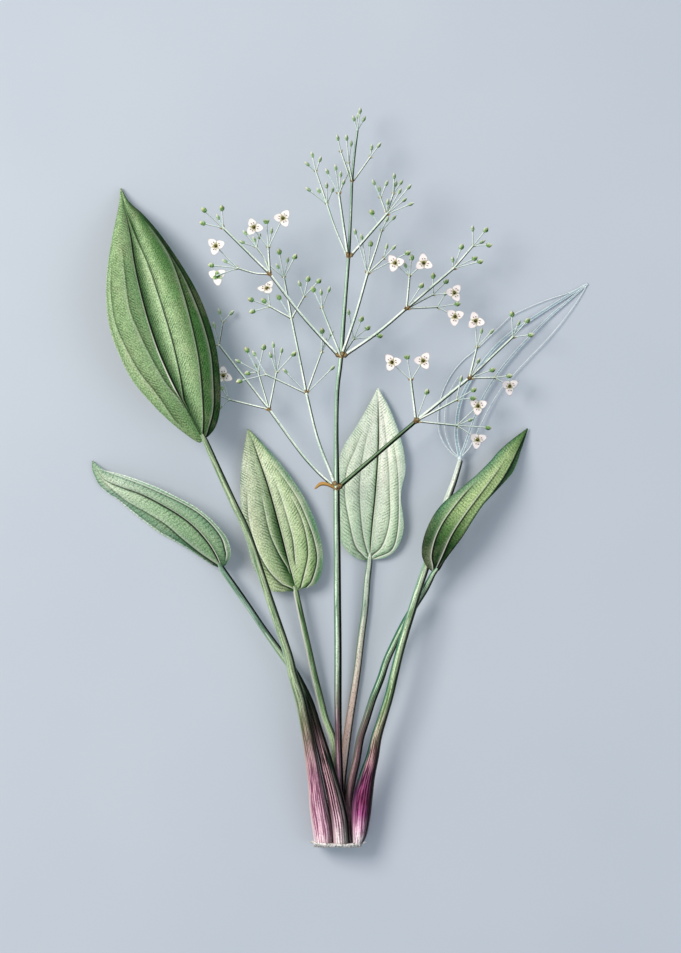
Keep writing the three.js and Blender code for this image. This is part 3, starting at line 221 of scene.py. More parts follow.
# Where each branch leaves the stem, and the branch: a fork with what it bears
BRANCHES = [
    ((-2.9, -4.7, 20.6), piece("branch_1_left", [-35.5, 34.1, 14], 0.75, [
        Fork([-60.75, 66.5, 7], 0.5, [
            Fork([-58.75, 78, 5], 0.4, [slim(-60.5, 83.25), slim(-54.25, 82.75)]),
            slim(-63.25, 76.5),
        ]),
        Fork([-41, 52.75, 10], 0.4, [
            plump(-46.75, 64), slim(-42.5, 56), plump(-38.25, 65.5), slim(-51.25, 58.25),
            plump(-46.5, 52.25),
        ]),
        piece("twig_1_left_outer", [-55.5, 39, 10], 0.45, [
            Flower("flower_1_left", [-58.5, 51, 12.5], 95, [0.15, 0.1]),
            slim(-59.5, 45), slim(-63, 42), slim(-60.5, 34.5),
        ]),
        piece("twig_1_left_inner", [-31.75, 52.5, 15.5], 0.45, [
            slim(-34.75, 61.25), slim(-33.5, 66.5), slim(-29.25, 63.75), plump(-23, 62),
        ]),
    ], [[-12, 3.6, 19.1], [-20.7, 13.7, 17.3]])),
    ((-2.3, -3.6, 23.6), piece("branch_1_back", [-16.75, 42, 19.5], 0.7, [
        slim(-27.5, 53.25),
        slim(-3.6, 55),
        Fork([-9.25, 62.5, 17.5], 0.45, [plump(-9, 73.5), slim(-7.5, 68.5), slim(-4.25, 72.25)]),
        piece("twig_1_back_upper", [-24.25, 79.5, 18], 0.6, [
            Fork([-35, 85.5, 17.5], 0.45, [
                plump(-44.75, 89), plump(-44, 83), plump(-38.25, 88.5),
                Flower("flower_1_back", [-36.5, 94.5, 20], 60, [-0.25, 0.65]),
            ]),
            plump(-30.75, 90.25),
            Fork([-28, 100, 18.5], 0.5, [
                plump(-30.5, 113), slim(-31.25, 105.75), slim(-26.25, 109), plump(-22.5, 110.5),
                slim(-36.5, 107.25),
            ]),
            Fork([-18, 90.5, 18.5], 0.45, [slim(-20.25, 97), plump(-16, 99.5), plump(-10.5, 98.5)]),
        ], [[-20.25, 60, 18.5]]),
        piece("twig_1_back_lower", [-37, 51.5, 20], 0.4, [plump(-50.5, 48), slim(-43, 62)]),
    ], [[-11, 19, 22]])),
    ((-0.6, -4.7, 22.4), piece("branch_1_right", [38, 28.25, 20], 1, [
        plump(43.5, 43),
        Fork([64.75, 49.75, 16], 0.8, [
            slim(69.25, 58.5), plump(76.5, 54),
            Fork([77.5, 50, 13.5], 0.45, [
                plump(85, 51),
                Flower("flower_1_right_tip", [84.75, 45.75, 16], 30, [0.4, -0.3]),
            ]),
            Fork([86.5, 70.25, 12.5], 0.6, [
                plump(86, 82), slim(89.5, 77.5), plump(94, 78.75), plump(95.75, 71.5),
            ]),
            piece("twig_1_right_outer", [68.5, 65, 18], 0.5, [
                Flower("flower_1_right_outer", [67.75, 78.25, 20], 106, [0.1, 0.1]),
                slim(70.75, 73.5), slim(76, 73.25),
            ]),
        ]),
        piece("twig_1_right_upper", [35.5, 48.5, 23], 0.6, [
            Flower("flower_1_right_a", [26, 57.5, 25.5], 128, [-0.1, 0.15]),
            calyx(33.5, 60.5),
            Flower("flower_1_right_b", [41.5, 58.25, 25.5], 57, [0.1, 0.15]),
        ]),
        piece("twig_1_right_middle", [58.25, 38.75, 21], 0.5, [
            slim(60.5, 49.5), plump(66.75, 39.75), plump(67, 44),
        ]),
        piece("twig_1_right_lower", [58.5, 26, 14.5], 0.5, [
            Flower("flower_1_right_c", [69, 35.75, 17], 143, [0.1, 0.1]),
            slim(65.5, 29), plump(74.5, 25),
            Flower("flower_1_right_d", [68.75, 19, 17], 20, [0.25, -0.35]),
        ]),
    ])),
    ((-0.7, 60.7, 24.4), piece("branch_2_left", [-35, 101.5, 29], 0.75, [
        Fork([-58.25, 124.5, 29.5], 0.6, [
            plump(-68, 133.5), plump(-68.75, 127), slim(-61, 130), plump(-59, 134.5),
        ]),
        piece("twig_2_left_outer", [-51, 104.5, 29], 0.5, [
            Flower("flower_2_left_a", [-62, 115.5, 32], 138, [-0.1, 0.1]),
            slim(-57.5, 108), plump(-64.5, 106),
            Flower("flower_2_left_b", [-61.25, 100.5, 32], 55, [0.1, -0.1], True),
        ], [[-42.5, 102, 28.5]]),
        piece("twig_2_left_upper", [-35.75, 114.5, 31.5], 0.5, [
            Flower("flower_2_left_c", [-43, 124.75, 35], 112, [0.1, 0.1]),
            calyx(-36.75, 128), slim(-34.25, 123.25),
            Flower("flower_2_left_d", [-28.5, 129.25, 35], 55, [0.1, 0.1]),
        ]),
        piece("twig_2_left_inner", [-41.75, 115, 26], 0.4, [
            slim(-49, 117.5), slim(-47.5, 122.25), slim(-43, 119), slim(-40.25, 120.5),
        ], [[-37.5, 109, 26.5]]),
    ], [[-18.6, 80.4, 26.7]])),
    ((0.1, 61.3, 26.2), piece("branch_2_small_left", [-9, 84.5, 28], 0.45, [
        slim(-9.5, 92.5), plump(-13.5, 94), slim(-5.5, 94),
    ])),
    ((1.3, 61, 23.8), piece("branch_2_small_right", [6.75, 69.25, 19], 0.45, [
        slim(4.25, 82.75, 20), plump(10.75, 79.5), plump(14, 75), plump(20.25, 71, 17),
    ])),
    ((0.9, 61.1, 26), piece("branch_2_upright", [13.75, 101.75, 26.5], 0.7, [
        slim(7.5, 122.75), slim(10.75, 120.25), plump(15.25, 117),
        Fork([20.75, 123.25, 25], 0.5, [plump(15.75, 132.5), slim(23.5, 129.25), slim(27, 130)],
            [[18, 114, 26]]),
        Fork([21.75, 109.25, 27], 0.4, [slim(27, 115), slim(23.25, 115.5)]),
        plump(34, 112.25),
    ], [[7.5, 80, 26.8]])),
    ((1.9, 60.7, 25.2), piece("branch_2_right", [33.25, 84.5, 24.5], 0.8, [
        plump(40.75, 96),
        Fork([56.75, 104.5, 22.5], 0.65, [
            slim(56.25, 109), plump(60.75, 115.5), plump(67.5, 109.75), plump(70.25, 108),
            Fork([66.5, 115.75, 20.5], 0.5, [
                slim(66.25, 124.5), plump(73, 124), slim(71.25, 118), plump(74.75, 116.25),
            ]),
        ]),
        piece("twig_2_right_upper", [34.75, 100.5, 29], 0.5, [
            Flower("flower_2_right_a", [27.5, 107, 32.5], 130, [-0.1, 0.1]),
            slim(32.5, 106), plump(35.75, 110),
            Flower("flower_2_right_b", [41.75, 107, 32], 95, [0.1, 0.1]),
        ]),
        piece("twig_2_right_middle", [46.5, 91.5, 19], 0.45, [
            plump(46.5, 101), plump(53.25, 98.25),
            Flower("flower_2_right_c", [57, 92.25, 24.5], 175, [0.35, 0.1]),
        ]),
        piece("twig_2_right_lower", [48.75, 85.25, 16], 0.45, [
            slim(53, 92.5), plump(59, 87),
            Flower("flower_2_right_d", [57.5, 80.5, 19.5], 143, [0.05, -0.1]),
        ]),
    ], [[19, 72.5, 25]])),
    ((3.4, 110.6, 23.6), piece("branch_3_left", [-6.5, 136.75, 20], 0.45, [
        slim(-16, 144), slim(-10.75, 143.5),
        Fork([-12, 153, 19.5], 0.4, [slim(-16.5, 156.75), slim(-14, 161.5), slim(-10, 159.25)]),
        slim(-6.75, 146), slim(-3.75, 144),
    ], [[-2.5, 125, 21.8]])),
    ((3.9, 110.8, 26.1), piece("branch_3_middle", [-0.5, 141.5, 28.5], 0.6, [
        slim(-6.5, 152.75), slim(-2.25, 154.75), slim(0.25, 151.5), slim(1.75, 147.5),
        slim(4.4, 153, 19.5),
    ])),
    ((5.2, 110.6, 25), piece("branch_3_right", [23.25, 131.25, 31], 0.65, [
        Fork([20.25, 139.5, 31], 0.4, [slim(16.75, 147.25), slim(19.5, 144.25), slim(23.25, 147)]),
        Fork([26.5, 141.5, 29], 0.4, [slim(27, 150.5), slim(27.75, 146.75), slim(30.5, 147.5)]),
        slim(29.75, 143), slim(34.5, 145), slim(32.25, 138.75), slim(35.5, 136.5),
        slim(23.75, 137.5),
    ])),
    ((5.3, 148.4, 21.6), piece("branch_4_left", [0.5, 162.75, 23], 0.4, [
        slim(-1.25, 169.75),
    ])),
    ((6, 148.6, 23), piece("branch_4_middle", [4.3, 157, 25], 0.4, [
        slim(3.25, 169.75), slim(5.5, 167),
    ])),
    ((6.7, 148.3, 21.7), piece("branch_4_right", [15, 160, 19], 0.4, [
        slim(19.5, 166.25), slim(15.75, 165.25),
    ])),
]

# How each blade is marked. Its side veins are [x, y] points from base to tip, the inner ones
# first. Each vein has painted shade on one side and a painted highlight on the other, as if lit
# from one side. inked is the side of a vein that has the painted shade, 1 for the right: such veins
# are raised, and the others sunk. ink is how dark the painted shade of the left and the right veins
# is, and lit how light the painted highlight on the other side. The next ones are given at shares of
# the length: rib is the height of the midrib, and sunk where it is below 0; rib_ink and vein_ink are
# how dark the painted shade line on one side of the midrib and of the veins is, and rib_gleam and
# vein_gleam how light the painted highlight line on the other side; dusk and light are the broad
# painted shade and painted light beside the veins, and shade the painted shade beside the midrib,
# whose side and reach are shaded. across is the colour from the left margin to the right one: the
# blade's own tones, with painted shade on flanks that turn from the light and painted light along
# some margins. along is what darkens it from base to tip. fleck and flecks are the colour and the
# strength of blotches, stipple and hatch how strong the specks and strokes are, and strokes how fast
# the strokes between the veins climb outward, and the mm from one to the next. The strokes are the
# blade's fine veins, drawn stronger in the painted shade beside a vein.
BLADES = {
    "leaf_upper_left": {
        "left_veins": [
            [[-80, 38.75], [-87.5, 48], [-95, 61.25], [-101, 73.75], [-105.5, 86.25], [-109, 113.75]],
            [[-82.5, 28.75], [-91, 41.25], [-100, 52.75], [-107.5, 66.25], [-112.5, 78.75],
                [-114.5, 93.75], [-114, 108.75]],
        ],
        "right_veins": [
            [[-78, 38.75], [-80, 51.25], [-84, 68.75], [-90, 88.75], [-96, 106.25], [-102.5, 121.25],
                [-107.5, 134.75]],
            [[-68.5, 21.25], [-68.5, 33.75], [-70, 53.75], [-72.5, 68.75], [-77.5, 88.75],
                [-84, 107.75], [-91, 119.75], [-100, 131.25]],
            [[-67, 20.25], [-63.5, 33.75], [-63.5, 48.75], [-65, 63.75], [-70, 81.25], [-77.5, 98.75],
                [-85, 111.25], [-95, 124.75]],
        ],
        "rib": {0: 0.7, 0.25: 0.5, 0.45: 0.2, 0.62: -0.1, 0.8: -0.2, 1: -0.1},
        "painted_dark": 1, "ink": (0.45, 1), "lit": (0, 0.3), "rib_ink": {0: 1, 0.5: 1, 1: 0.9},
        "rib_gleam": {0: 1, 0.25: 0.9, 0.45: 0.4, 0.7: 0.2, 1: 0},
        "vein_ink": {0: 1, 0.5: 0.8, 0.8: 0.5, 1: 0.2}, "vein_gleam": {0: 0.6, 0.5: 0.35, 1: 0.15},
        "dusk": {0: 0.5, 0.5: 0.4, 0.8: 0.5, 1: 0.8}, "light": {0: 0.2, 0.5: 0.3, 1: 0},
        "shaded": (1, 4.6),
        "shade": {0: 0.5, 0.1: 0.9, 0.55: 1, 0.75: 0.8, 0.95: 0.3},
        "across": {0: "b4cba6", 0.02: "7fa076", 0.06: "96b886", 0.15: "96b585", 0.5: "6c9263",
            0.64: "afcf9f", 0.72: "a3c490", 0.8: "688f59", 0.88: "46733c", 1: "1b3d18"},
        "along": {0: "b3c4b0", 0.3: "ffffff", 1: "ffffff"}, "fleck": "bfae9d", "flecks": 0.2,
        "stipple": 1.1, "hatch": 0.7, "strokes": (1.2, 1.5),
    },
    "leaf_lower_left": {
        "left_veins": [
            [[-60.5, -44.25], [-70, -37.75], [-78.5, -31], [-87.5, -23.25], [-98, -16.75],
                [-107.5, -11.25], [-118, -2.25], [-121.5, 2], [-123.3, 6]],
        ],
        "right_veins": [
            [[-57, -37.75], [-59, -30.75], [-64, -23.75], [-71, -17.5], [-80, -12.25], [-90, -7.5],
                [-100, -3.25], [-112.5, 1.25], [-121.5, 4.25]],
        ],
        "rib": {0: -0.2, 0.5: -0.15, 1: -0.1}, "painted_dark": -1, "ink": (0.9, 0.9), "lit": (0.1, 0.9),
        "rib_ink": {0: 1, 0.6: 0.9, 1: 0.5}, "rib_gleam": {0: 0.9, 0.5: 0.6, 1: 0.4},
        "vein_ink": {0: 1, 0.4: 0.7, 0.8: 0.35, 1: 0}, "vein_gleam": {0: 0.8, 0.5: 0.7, 1: 0.4},
        "dusk": {0: 0.4, 0.5: 0.22, 1: 0.1}, "light": {0: 0.5, 0.5: 0.4, 1: 0.2}, "shaded": (1, 2.5),
        "shade": {0: 0.8, 0.12: 0.6, 0.3: 0.1, 0.6: 0},
        "across": {0: "f6fffb", 0.022: "f2fcf8", 0.04: "6d9383", 0.08: "8fb59d", 0.24: "bfd7bb",
            0.36: "cadfc5", 0.5: "9ab79a", 0.56: "d0e5ca", 0.66: "daeed5", 0.965: "8fb4a2",
            0.98: "f2fcf8", 1: "f6fffb"},
        "along": {0: "5c7862", 0.12: "9ab39b", 0.5: "cbdccb", 0.8: "ffffff", 1: "b5c9bb"},
        "fleck": "dfe3cb", "flecks": 0.25, "stipple": 0.95, "hatch": 0.45, "strokes": (0.3, 2.2),
    },
    "leaf_middle_left": {
        "left_veins": [
            [[-26.5, -45.25], [-31, -37.75], [-35, -28.75], [-37.5, -18.75], [-39.5, -8.75]],
            [[-25, -55.25], [-30, -52.75], [-36, -46.25], [-41, -37.25], [-44, -28.75], [-46, -18.75],
                [-46.5, -6.25]],
        ],
        "right_veins": [
            [[-22.5, -41.25], [-23.5, -31.25], [-26, -21.25], [-29, -11.25], [-32.5, -1.25]],
            [[-20, -56], [-18, -48.75], [-16, -38.75], [-17, -28.75], [-20, -18.75], [-25, -8.75]],
            [[-17, -55], [-14, -51.25], [-11.5, -41.25], [-13, -31.25], [-16.5, -21.25], [-21, -11.25],
                [-27.5, -1.25], [-35, 8.75]],
        ],
        "rib": {0: -0.25, 0.5: -0.2, 1: -0.1}, "painted_dark": -1, "ink": (0.85, 1), "lit": (0.7, 0.6),
        "rib_ink": {0: 1, 0.6: 1, 1: 0.7}, "rib_gleam": {0: 1, 0.5: 0.7, 1: 0.3},
        "vein_ink": {0: 0.9, 0.3: 0.7, 0.5: 0.3, 1: 0}, "vein_gleam": {0: 0.8, 0.5: 0.6, 1: 0.3},
        "dusk": {0: 0.3, 0.3: 0.5, 0.5: 0.4, 1: 0.15}, "light": {0: 0.5, 0.5: 0.5, 1: 0.2},
        "shaded": (-1, 5), "shade": {0: 1, 0.4: 1, 0.62: 0.6, 0.85: 0.15},
        "across": {0: "a8bdae", 0.05: "dbe6d0", 0.15: "e3edd0", 0.4: "d3e5c2", 0.5: "a6bf92",
            0.54: "e8f5da", 0.82: "c3d8af", 0.96: "5c8a6c", 1: "7fae93"},
        "along": {0: "b9cda8", 0.8: "ffffff", 1: "dfe8db"}, "fleck": "e9e6cf", "flecks": 0.3,
        "stipple": 0.8, "hatch": 0.75, "strokes": (1.05, 1.6),
    },
    "leaf_centre": {
        "left_veins": [
            [[14, -38.5], [11.5, -28.75], [10, -13.75], [10, -1.25], [12, 13.75], [15, 26.25]],
            [[12, -39.5], [7.5, -33.75], [4.5, -21.25], [2.5, -8.75], [3.5, 3.75], [7.5, 13.75],
                [11.5, 23.75]],
        ],
        "right_veins": [
            [[16, -39.5], [21.5, -33.75], [25, -21.25], [25, -6.25], [24.5, 6.25], [23, 23.75],
                [21, 36.25]],
            [[18, -40.25], [26, -36.25], [29, -26.25], [29.5, -11.25], [29, 3.75], [27, 18.75]],
        ],
        "rib": {0: -0.2, 0.5: -0.15, 0.8: -0.1, 1: 0}, "painted_dark": -1, "ink": (0.8, 0.8), "lit": (0.8, 1),
        "rib_ink": {0: 0.8, 0.25: 1, 0.75: 0.9, 1: 0.4}, "rib_gleam": {0: 1, 1: 0.6},
        "vein_ink": {0: 0.8, 0.3: 0.5, 0.6: 0.2, 1: 0}, "vein_gleam": {0: 0.9, 0.5: 0.7, 1: 0.4},
        "dusk": {0: 0.5, 0.5: 0.4, 1: 0.15}, "light": {0: 0.6, 0.5: 0.5, 1: 0.2}, "shaded": (-1, 1.7),
        "shade": {0: 0.4, 0.2: 0.65, 0.6: 0.6, 0.8: 0.1},
        "across": {0: "c3d8c9", 0.12: "f0fdea", 0.42: "f6ffef", 0.48: "d3ebce", 0.57: "fdfffa",
            0.85: "ebf8e6", 1: "a2c2b3"},
        "along": {0: "b5ceb9", 0.5: "f8fcf6", 0.8: "ffffff"}, "fleck": "e6e3d8", "flecks": 0.3,
        "stipple": 0.55, "hatch": 0.6, "strokes": (0.9, 1.5),
    },
    "leaf_right": {
        "left_veins": [
            [[48.5, -45], [51, -39.75], [56, -28.75], [62.5, -18.75], [70, -8.75], [77.5, 1.25],
                [82.5, 8.75]],
            [[46.7, -44], [46, -38.75], [48, -30.25], [52.5, -21.25], [60, -11.25], [67.5, -2.75]],
        ],
        "right_veins": [[[51.5, -41], [57.5, -31.5], [66, -20], [74.5, -9.5], [81.5, -1.5]]],
        "rib": {0: 0.1, 1: 0}, "painted_dark": 1, "ink": (1, 0.3), "lit": (0.65, 0),
        "rib_ink": {0: 0.3, 0.5: 0.5, 0.6: 1, 1: 1}, "rib_gleam": {0: 0.3, 0.1: 0, 1: 0},
        "vein_ink": {0: 1, 0.5: 0.8, 0.8: 0.3, 1: 0},
        "vein_gleam": {0: 0.9, 0.35: 0.8, 0.6: 0.3, 1: 0.1}, "dusk": {0: 0.6, 0.5: 0.3, 1: 0.1},
        "light": {0: 0.4, 0.4: 0.3, 1: 0}, "shaded": (1, 2),
        "shade": {0: 0.3, 0.4: 0.3, 0.5: 0.5, 0.6: 1, 0.75: 0.7, 1: 0.5},
        "across": {0: "33604f", 0.05: "6b9775", 0.25: "b1ca93", 0.43: "99b27d", 0.47: "abc48e",
            0.5: "416b43", 0.56: "2f5c36", 0.9: "4f7f4c", 1: "6d9c66"},
        "along": {0: "1a3f24", 0.18: "355f3c", 0.28: "809f7e", 0.4: "eff4eb", 0.6: "ffffff",
            0.8: "f4f8f2", 0.92: "9db89b", 1: "7f9c80"},
        "fleck": "d3ddb0", "flecks": 0.2, "stipple": 1.05, "hatch": 0.6, "strokes": (0.45, 1.5),
    },
}

# How each stalk is marked. stripes is their number round it, and rim, pale and deep are the
# colours of its left edge and of its stripes, at millimetres from its foot; where the rim is near
# white it is a painted highlight. gleam is how light the painted highlight down its left is, and
# shadow how dark the painted shade down its right. dark is where across it the painted shade starts
# and is full, further right by front at its sheath, and edge is the same for the rim. lap is the
# angle of the line where its sheath laps over itself, along which a painted shadow line runs.
STALKS = {
    "leaf_upper_left": {
        "stripes": 26, "gleam": 0.3, "lap": 0.75, "front": 0.45, "dark": (0.15, 0.72),
        "edge": (-0.74, -0.9),
        "rim": {0: "f0dce4", 45: "c9a9a0", 60: "a9c4b8", 215: "b4cdbb"},
        "pale": {0: "fdf0f5", 6: "efc9db", 34: "d2a0b5", 60: "a8a08d", 75: "b3c4a6", 95: "c0d0ae",
            215: "b5c9a8"},
        "deep": {0: "b5829a", 6: "8f5170", 34: "764560", 60: "54573f", 95: "6b8a68", 215: "648262"},
    },
    "leaf_lower_left": {
        # Its near-black stretch from about 50 to 76 mm is painted shadow, where it passes beneath the         upper left leaf's petiole.
        "stripes": 22, "gleam": 0.15, "shadow": 1.0, "lap": 1.2, "front": 0.1, "dark": (0.1, 0.65),
        "rim": {0: "d9b9c8", 20: "3a2430", 50: "20161b", 75: "26322a", 92: "9dbba0", 215: "a9c6ae"},
        "pale": {0: "ffffff", 10: "f5d6e4", 20: "cfa3b5", 48: "bd97a2", 60: "5f4d4c", 76: "50614a",
            95: "bcd1ab", 120: "adc7bf", 150: "8fb3a0", 215: "a3bfa6"},
        "deep": {0: "b39aa6", 10: "633750", 20: "2a121e", 60: "0c0b0a", 76: "141b13", 95: "5a7a58",
            120: "5c7f6c", 150: "476b54", 215: "5a7a62"},
    },
    "leaf_middle_left": {
        "stripes": 14, "gleam": 0.95, "shadow": 0.9, "lap": 0.9, "dark": (0.3, 0.85),
        "edge": (-0.3, -0.6), "rim": {0: "f4f2ee", 215: "eef6ea"},
        "pale": {0: "e6e0d4", 60: "dcf2ce", 95: "7f9f74", 120: "7f9f74", 142: "c6dab6", 215: "cddcb8"},
        "deep": {0: "b3a098", 30: "adc998", 60: "a3c48f", 75: "6c8d60", 95: "38582f", 120: "33512d",
            142: "7e9c6d", 215: "86a375"},
    },
    "leaf_centre": {
        # Its colours from about 60 mm and its strong gleam are lighter than its own pink tan: painted         light against the shadow that the flower stem casts on it.
        "stripes": 14, "gleam": 1.1, "lap": 0.6, "dark": (0.42, 0.78),
        "rim": {0: "d9b9a8", 60: "c9a48c", 85: "8aa893", 110: "6fa08c", 215: "86b09c"},
        "pale": {0: "f0d9d2", 60: "ffece2", 120: "d6e0cf", 215: "d6e2d3"},
        "deep": {0: "cfaeac", 60: "f3d3c6", 120: "93a899", 215: "96ad9a"},
    },
    "leaf_right": {
        "stripes": 16, "gleam": 0.6, "lap": 2.5, "dark": (0.05, 0.65), "edge": (-0.4, -0.65),
        "rim": {0: "9a8a88", 62: "6f7f74", 78: "2b6a58", 215: "5a8f78"},
        "pale": {0: "d9b1bc", 55: "997d86", 80: "c6e0c4", 215: "c0dab8"},
        "deep": {0: "95677a", 62: "5c514f", 78: "4f7455", 215: "5a8060"},
    },
    "leaf_far_right": {
        "stripes": 24, "gleam": 0.6, "lap": 2.75, "front": 0.18, "dark": (0.05, 0.6),
        "edge": (-0.5, -0.75),
        "rim": {0: "f1deeb", 12: "b878a4", 26: "4f2a50", 34: "1f5a50", 110: "2f7a64", 150: "9fc4b4",
            185: "e6f2ee", 215: "f4f8f4"},
        "pale": {0: "ffffff", 8: "eec4dc", 15: "b4609a", 22: "8f3f6c", 34: "96507c", 48: "c2a49f",
            75: "d4eac2", 120: "e0f2d8", 150: "d6e6d0", 215: "f8fbf8"},
        "deep": {0: "b799ab", 8: "854872", 16: "4a1238", 34: "330f26", 48: "54333c", 58: "63664b",
            75: "5d8050", 150: "6f8d6a", 215: "c9d6d0"},
    },
    "flower_stem": {
        "stripes": 9, "gleam": 0.75, "shadow": 1.0, "dark": (-0.1, 0.5),
        "rim": {0: "9a8288", 60: "4f4650", 80: "3f6a5c", 215: "8ab39c"},
        "pale": {0: "b5929a", 12: "a27c8c", 60: "a68b9b", 72: "a9aaa0", 95: "cfe3d0", 215: "c8dfcd"},
        "deep": {0: "80595d", 35: "5a3d48", 65: "5f4a50", 85: "7c987f", 215: "86a592"},
    },
    "twig": {
        "stripes": 6, "gleam": 0.8, "shadow": 1.0, "dark": (0, 0.5), "rim": {0: "eef6ee", 1: "eef6ee"},
        "pale": {0: "e8f2e6", 1: "eef7f1"}, "deep": {0: "abc4a9", 1: "b5cfbf"},
    },
    "green_twig": {
        "stripes": 6, "gleam": 0.25, "shadow": 1.0, "dark": (-0.2, 0.4),
        "rim": {0: "2b4230", 1: "2b4230"}, "pale": {0: "7c976f", 1: "7f9b78"},
        "deep": {0: "3f5a3c", 1: "456045"},
    },
}
USUAL_STALK = {"shadow": 0.97, "front": 0, "edge": (-0.6, -0.8)}

# Lines, rings and grids

CURVE_STEPS = 40  # from one given point of a smooth line to the next
SHADE_TURN = 5  # how soon the side with painted shade changes where a stalk bends


def smooth_line(points, count=None, shares=None):
    """Points at even steps, or at the given shares of its length, of the smooth curve through
    the given points. What a point holds after its x, y and z is carried along."""
    given = np.array(points, float)
    ends = np.vstack([2 * given[0] - given[1], given, 2 * given[-1] - given[-2]])
    at = np.linspace(0, len(given) - 1, CURVE_STEPS * (len(given) - 1) + 1)
    first = np.minimum(at.astype(int), len(given) - 2)
    part = (at - first)[:, None]
    a, b, c, d = (ends[first + step] for step in range(4))
    curve = b + (c - a) * part / 2 + (a - 2.5 * b + 2 * c - d / 2) * part**2
    curve += (1.5 * (b - c) + (d - a) / 2) * part**3
    length = distances(curve)
    wanted = length[-1] * (np.linspace(0, 1, count) if shares is None else np.asarray(shares))
    return np.column_stack([np.interp(wanted, length, column) for column in curve.T])


def distances(line):
    """How far along a line each of its points lies."""
    steps = np.linalg.norm(np.diff(line[:, :3], axis=0), axis=1)
    return np.concatenate([[0], np.cumsum(steps)])


def unit(vectors):
    vectors = np.asarray(vectors, float)
    return vectors / np.linalg.norm(vectors, axis=-1, keepdims=True)


def between(stops, shares):
    """What is given at some shares, at others."""
    return np.interp(shares, list(stops), list(stops.values()))


def bell(distance, width):
    return np.exp(-((distance / width) ** 2))


def turned(facing):
    """The turn that takes up to facing the short way, as a matrix."""
    facing = unit(facing)
    x, y, _ = np.cross(UP, facing)
    cross = np.array([[0, 0, y], [0, 0, -x], [-y, x, 0]])
    return np.eye(3) + cross + cross @ cross / (1 + facing[2])


def round_angles(sides):
    return np.arange(sides) / sides * 2 * math.pi


def grid_faces(rows, columns, closed=False, flip=False):
    """Quads over a grid of points. A closed one joins its last column to its first."""
    row, column = np.meshgrid(
        np.arange(rows - 1), np.arange(columns if closed else columns - 1), indexing="ij")
    here = row * columns + column
    beside = row * columns + (column + 1) % columns
    quads = np.stack([here, beside, beside + columns, here + columns], -1).reshape(-1, 4)
    return (quads[:, ::-1] if flip else quads).tolist()


class Skin:
    """A piece's mesh as it is made, patch by patch. A point's marks are what its material reads:
    grain is its place for textures in mm, and place and paint are three numbers each; paint mostly
    holds painted shade and painted light."""

    def __init__(self):
        self.count = 0
        self.points = []
        self.faces = []
        self.looks = []
        self.materials = []
        self.marks = {"grain": [], "place": [], "paint": []}

    def add(self, points, faces, material, **marks):
        """Adds points and faces over them, and gives back the number of the first point."""
        start = self.count
        points = np.array(points, float).reshape(-1, 3)
        points[:, 2] = np.maximum(points[:, 2], LOWEST)
        self.points.append(points)
        self.count += len(points)
        for name, patches in self.marks.items():
            values = np.zeros((len(points), 3))
            values[:] = np.asarray(marks[name], float).reshape(-1, 3)
            patches.append(values)
        self.cover(start, faces, material)
        return start

    def cover(self, start, faces, material):
        """Adds faces over points that are there already, numbered from start."""
        if material not in self.materials:
            self.materials.append(material)
        self.faces += [[start + corner for corner in face] for face in faces]
        self.looks += [self.materials.index(material)] * len(faces)

    def piece(self, node):
        """Makes the piece that stands for a node, attached to the root body, and hides that node."""
        name = f"{node}_fine"
        mesh = bpy.data.meshes.new(name)
        mesh.from_pydata((np.vstack(self.points) * MM).tolist(), [], self.faces)
        for material in self.materials:
            mesh.materials.append(material)
        mesh.polygons.foreach_set("material_index", self.looks)
        mesh.polygons.foreach_set("use_smooth", [True] * len(self.faces))
        for mark, patches in self.marks.items():
            attribute = mesh.attributes.new(mark, "FLOAT_VECTOR", "POINT")
            attribute.data.foreach_set("vector", np.vstack(patches).astype(np.float32).ravel())
        mesh.update()
        made = bpy.data.objects.new(name, mesh)
        bpy.context.scene.collection.objects.link(made)
        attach(made, "root")
        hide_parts(node)


def painted(paint, shade):
    """Paint marks with a third number: how far a point of a round part lies on its side with painted
    shade.
    """
    marks = np.zeros((len(shade), 3))
    marks[:, :2] = paint
    marks[:, 2] = shade
    return marks


def tube(skin, stations, sides, material, relief=None, dome=0.6, paint=(0, 0), dark=LOW_RIGHT):
    """A closed tube through stations [x, y, z, half width, half thickness], with domed ends.
    relief gives what its rings are swollen by, from the angle and the distance along it. Its
    place marks are that distance, and how far to its side and how far up a point lies. dark is
    the way that the side with painted shade faces."""
    stations = np.asarray(stations, float)
    centres, width, thickness = stations[:, :3], stations[:, 3:4], stations[:, -1:]
    along = unit(np.gradient(centres, axis=0))
    across = unit(np.cross(along, UP))
    up = np.cross(across, along)
    distance = distances(centres)[:, None] + np.zeros((1, sides))
    angle = np.zeros(distance.shape) + round_angles(sides)
    swell = 1 if relief is None else relief(angle, distance)
    right, high = np.cos(angle), np.sin(angle)
    rings = centres[:, None] + across[:, None] * (right * width * swell)[..., None]
    rings += up[:, None] * (high * thickness * swell)[..., None]
    first = centres[0] - along[0] * dome * thickness[0]
    last = centres[-1] + along[-1] * dome * thickness[-1]
    foot = len(centres) * sides
    tip = foot + 1
    faces = grid_faces(len(centres), sides, closed=True, flip=True)
    for side in range(sides):
        beside = (side + 1) % sides
        faces.append([foot, side, beside])
        faces.append([tip, foot - sides + beside, foot - sides + side])
    ends = [[0, 0, distance[0, 0]], [0, 0, distance[-1, 0]]]
    grain = np.stack([right * width, high * thickness, distance], -1).reshape(-1, 3)
    place = np.stack([distance, right, high], -1).reshape(-1, 3)
    shade = (right * np.tanh(SHADE_TURN * across @ dark)[:, None]).ravel()
    skin.add(np.vstack([rings.reshape(-1, 3), first, last]), faces, material,
             grain=np.vstack([grain, ends]), place=np.vstack([place, np.roll(ends, 1, axis=1)]),
             paint=painted(paint, np.append(shade, [0, 0])))


